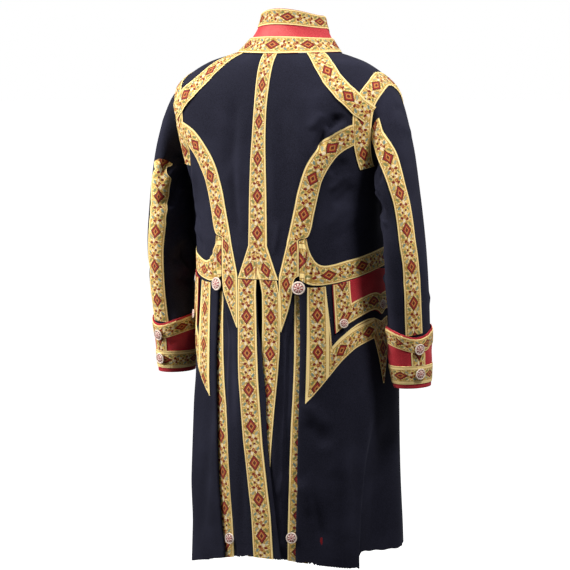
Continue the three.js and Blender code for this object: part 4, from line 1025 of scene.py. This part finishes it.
for word, side, name in sides:
    back = backs[side]
    half = lace["width"] / 2
    rows = []
    for z in ventHeights:
        free = along(ventEdge[side], max(z, -930)) + 0.15
        rows.append([free, z, free + along(ventLace["widths"][side], z), z])
    ribbon = laceOn(f"vent{word}Lace", side, rows, back, laceLift)
    settle(ribbon, [f"lace_vent_{name}"])
    rows = curved(sideBackRows + sideBackTip[side], (10,))
    ribbon = laceOn(f"sideBack{word}Lace", side, rows, back, laceLift + 0.2, "start")
    settle(ribbon, [f"lace_side_back_{name}"])
    ribbon = laceOn(f"waist{word}Lace", side, curved(waistRows, (2,)), coat, laceLift + 0.45, "mitre",
                    extra=gathers)
    settle(ribbon, [f"lace_waist_{name}"])
    line = np.array([[a, float(levelAt(a * side, z))] for a, z in shoulderLine])
    edges = edgesBeside(subdivided(line, 8), half, half, coat, side)
    angle, level = between(edges, np.linspace(0, 1, 11))
    overArmhole = np.linspace(0, 1, len(angle))[:, None]  # it rises on to the armhole lace
    rise = laceLift + 0.45 + 1.7 * smooth((overArmhole - 0.5) / 0.18)
    ribbon = laceSheet(f"shoulder{word}Lace", coat, side, angle, level, rise, bodyEnd)
    settle(ribbon, [f"lace_shoulder_{name}"])
    tail = smooth((armholeTail["from"] - armholeRun) / 50)
    outerLine = np.stack(armholeSpot(side, armholeRun - armholeTail["outerDrop"] * tail), -1)
    innerLine = np.stack(armholeSpot(side, armholeRun - armholeTail["innerDrop"] * tail), -1)
    nearHole = edgesBeside(outerLine, -0.6 - armholeTail["inset"] * tail, lace["width"] + 1, coat, side)
    nearBack = edgesBeside(innerLine, -0.6, lace["width"] + 1, coat, side)
    angle, level = between(np.hstack([nearHole[:, :2], nearBack[:, 2:]]), np.linspace(0, 1, 11))
    ribbon = laceSheet(f"armhole{word}Lace", coat, side, angle, level, laceLift + 0.5, bodyEnd)
    settle(ribbon, [f"lace_armhole_{name}"])
    rows = []
    for z in pleatHeights:
        first = along(pleatLace["inner"][side], max(z, -925))
        rows.append([first, z, first + pleatLace["angle"], z])
    ribbon = laceOn(f"pleat{word}Lace", side, rows, back, laceLift + 0.2)
    settle(ribbon, [f"lace_pleat_{name}"])
    shift = pocketSet["shift"][side]
    rows = curved(bothHalves(pocketRows, shift, pocketFall), (1, 3, 4, 8, 9, 10, 11, 12, 13, 17, 18, 20))
    ribbon = laceOn(f"pocket{word}Lace", side, rows, coat, laceLift + 0.25, across=24,
                    chart=pocketChart(shift))
    settle(ribbon, [f"lace_pocket_{name}"])
    rows = asLevels(divided(bothHalves(flapRows, shift, flapTop), lace["step"]), side)
    angle, level = between(rows, np.linspace(0, 1, 19))
    outer = lifted(coat, angle * side, level, pocketSet["flapRise"], bodyEnd)
    inner = lifted(coat, angle * side, level, pocketSet["flapRise"] - cloth["thick"], bodyEnd)
    panel = sheetMesh(f"flap{word}Cloth", outer, inner, redCloth, chartOf(outer))
    settle(panel, [f"flap_{name}"])
    rows = curved(bothHalves(flapLaceRows, shift, flapLaceFall), (2, 9, 10, 17))
    ribbon = laceOn(f"flap{word}Lace", side, rows, coat, pocketSet["flapRise"] + laceLift, "start")
    settle(ribbon, [f"lace_flap_{name}"])
    edges = edgesBeside(curved(sleeveLace["path"][side]), half, half, sleeveForms[side], 1)
    angle, level = between(edges, np.linspace(0, 1, 13))
    ribbon = laceSheet(f"sleeve{word}Lace", sleeveForms[side], 1, angle, level, laceLift + 0.75, sleeveEnd)
    settle(ribbon, [f"lace_sleeve_{name}"])
print("laces and flaps made")

# ---- buttons: one is modelled step by step at unit radius and copied
# its profile is a list of steps in towards the middle and up, each from the ring before
buttonSet = {"sides": 40, "shank": 2, "hipRadius": 12.5, "smallRadius": 10.5, "flapRadius": 8.5,
             "pleatShank": 7.4, "clear": 0.3, "footRadius": 0.97, "footHeight": 0.06,
             "profile": ((0, 0.03), (-0.03, 0.05), (0, 0.05), (0.04, 0.05), (0.08, 0.03), (0.08, -0.02),
                         (0.05, -0.05), (0.06, 0.03), (0.12, 0.06), (0.16, 0.05), (0.16, 0.03), (0.1, -0.02))}


def modelButton(look):
    bpy.ops.object.select_all(action="DESELECT")
    radius = look["footRadius"]
    bpy.ops.mesh.primitive_circle_add(vertices=look["sides"], radius=radius, fill_type="NGON",
                                      location=(0, 0, look["footHeight"]))
    model = bpy.context.object
    bpy.ops.object.mode_set(mode="EDIT")
    bpy.ops.mesh.select_mode(type="FACE")
    bpy.ops.mesh.select_all(action="SELECT")
    for inward, rise in look["profile"]:
        bpy.ops.mesh.extrude_region_move(TRANSFORM_OT_translate={"value": (0, 0, 0)})
        if inward:
            bpy.ops.transform.resize(value=(1 - inward / radius,) * 2 + (1,), center_override=(0, 0, 0))
            radius -= inward
        bpy.ops.transform.translate(value=(0, 0, rise))
    bpy.ops.mesh.select_all(action="SELECT")
    bpy.ops.mesh.normals_make_consistent(inside=False)
    bpy.ops.object.mode_set(mode="OBJECT")
    bpy.ops.object.transform_apply(location=True, rotation=True, scale=True)
    model.data.uv_layers.new(name="clothMm")
    for layer in [l for l in model.data.uv_layers if l.name != "clothMm"]:
        model.data.uv_layers.remove(layer)
    chart = model.data.uv_layers["clothMm"]
    for loop in model.data.loops:
        chart.data[loop.index].uv = model.data.vertices[loop.vertex_index].co[:2]
    return model


button = modelButton(buttonSet)


def placeButton(name, node, surface, u, v, lift, radius, last, shank=buttonSet["shank"]):
    foot = lifted(surface, u, v, np.float64(lift), last)
    facing = Vector(lifted(surface, u, v, np.float64(lift + 10), last) - foot).normalized()
    piece = button.copy()
    piece.data = button.data.copy()
    piece.name = name
    scene.collection.objects.link(piece)
    turn = Vector((0, 0, 1)).rotation_difference(facing).to_matrix().to_4x4()
    size = Matrix.Diagonal((radius / 1000,) * 3 + (1,))
    piece.data.transform(Matrix.Translation(Vector(foot) / 1000 + facing * shank / 1000) @ turn @ size)
    piece.data.materials.clear()
    piece.data.materials.append(buttonSilk)
    bpy.ops.object.select_all(action="DESELECT")
    piece.select_set(True)
    bpy.context.view_layer.objects.active = piece
    bpy.ops.object.shade_smooth_by_angle(angle=math.radians(60))
    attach(piece, "root")
    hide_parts(node)


# angle and height
hipSpot = {1: [32.4, -427], -1: [28.4, -427]}
footSpot = {1: [17, -901], -1: [23.3, -889]}
flapSpots = [(53.2, -492), (80, -462), (106.8, -492)]
cuffLevels = (7.97, 8.6)
frontButtons = {"angle": -175.4, "heights": (-118, -161, -201, -239, -290)}
for word, side, name in sides:
    def at(spot):
        return spot[0] * side, levelAt(spot[0] * side, spot[1])
    placeButton(f"hip{word}Button", f"button_hip_{name}", coat, *at(hipSpot[side]), 0.5,
                buttonSet["hipRadius"], bodyEnd)
    placeButton(f"pleat{word}Button", f"button_pleat_{name}", coat, *at(footSpot[side]),
                laceLift + buttonSet["clear"] - layers["step"], buttonSet["smallRadius"], bodyEnd,
                buttonSet["pleatShank"])
    onFlap = pocketSet["flapRise"] + laceLift + buttonSet["clear"]
    for i, (angle, z) in enumerate(flapSpots):
        placeButton(f"flap{word}Button{i + 1}", f"button_flap_{name}_{i + 1}", coat,
                    *at([angle + pocketSet["shift"][side], z]), onFlap, buttonSet["flapRadius"], bodyEnd)
    onCuff = cuffSet["rise"] + laceLift + buttonSet["clear"]
    for i, level in enumerate(cuffLevels):
        placeButton(f"cuff{word}Button{i + 1}", f"button_cuff_{name}_{i + 1}", sleeveForms[side],
                    sleeveLaceAngle[side], level, onCuff, buttonSet["smallRadius"], sleeveEnd)
for i, z in enumerate(frontButtons["heights"]):
    placeButton(f"frontButton{i + 1}", f"button_front_{i + 1}", coat, frontButtons["angle"],
                levelAt(frontButtons["angle"], z), buttonSet["clear"], buttonSet["smallRadius"], bodyEnd)
bpy.data.objects.remove(button)
print("buttons made")

# ---- stage: a pale floor well below the hem, and soft light from the upper left
stageSet = {"floor": -1.42, "radius": 60, "pale": "#f4f4f2", "paler": "#f8f8f6", "glow": 0.76}
bpy.ops.object.select_all(action="DESELECT")
bpy.ops.mesh.primitive_circle_add(vertices=96, radius=stageSet["radius"], fill_type="NGON",
                                  location=(0, 0, stageSet["floor"]))
floor = bpy.context.object
floor.name = "studioFloor"
material, tree = newMaterial("mattStudioPaper")  # seamless paper, matt and even
grain = noise(tree, addNode(tree, "TexCoord").outputs["Object"], 2.0, 2.0)
paper = mixColour(tree, grain, srgb(stageSet["pale"]), srgb(stageSet["paler"]))
finishMaterial(tree, paper, bumped(tree, grain, 0.0, 1.0), {"roughness": 0.95, "specular": 0.1})
surface = next(node for node in tree.nodes if node.type == "BSDF_PRINCIPLED")
surface.inputs["Emission Color"].default_value = (1, 1, 1, 1)
surface.inputs["Emission Strength"].default_value = stageSet["glow"]
floor.data.materials.append(material)
floor.visible_diffuse = False  # the paper is lit by itself and throws nothing back on the coat
floor.visible_glossy = False

softboxes = [
    {"name": "keySoftbox", "watts": 62, "size": 0.7, "spread": 180,
     "at": (1.15, 0.85, 1.55), "aim": (0.0, 0.05, -0.3)},
    {"name": "sleeveSoftbox", "watts": 4.6, "size": 0.4, "spread": 60,
     "at": (-1.3, 0.42, 1.0), "aim": (-0.25, 0.05, -0.2)},
    {"name": "leftArmSoftbox", "watts": 3.6, "size": 0.4, "spread": 60,
     "at": (1.3, 1.0, 0.1), "aim": (0.27, 0.05, -0.36)}]
for look in softboxes:
    bpy.ops.object.light_add(type="AREA", location=look["at"])
    lamp = bpy.context.object
    lamp.name = look["name"]
    lamp.data.energy = look["watts"]
    lamp.data.shape = "DISK"
    lamp.data.size = look["size"]
    lamp.data.spread = math.radians(look["spread"])
    lamp.rotation_euler = (Vector(look["at"]) - Vector(look["aim"])).to_track_quat("Z", "Y").to_euler()
fillSun = {"name": "fillSun", "strength": 0.7, "softness": 60, "from": (-0.5, -1.0, 0.7)}
bpy.ops.object.light_add(type="SUN", location=(0, 0, 3))
lamp = bpy.context.object
lamp.name = fillSun["name"]
lamp.data.energy = fillSun["strength"]
lamp.data.angle = math.radians(fillSun["softness"])
lamp.rotation_euler = Vector(fillSun["from"]).to_track_quat("Z", "Y").to_euler()

skyLight = 0.19  # on the coat: the camera sees the sky at full strength
world = bpy.data.worlds.new("studioLight")
scene.world = world
world.use_nodes = True
world.node_tree.nodes.clear()
path = addNode(world.node_tree, "LightPath")
bright = ranged(world.node_tree, path.outputs["Is Camera Ray"], 0.0, 1.0, skyLight, 1.0)
sky = addNode(world.node_tree, "Background", None, {"Color": (1, 1, 1, 1), "Strength": bright})
addNode(world.node_tree, "OutputWorld", None, {"Surface": sky.outputs["Background"]})
scene.view_settings.view_transform = "Standard"
print("stage and light set")
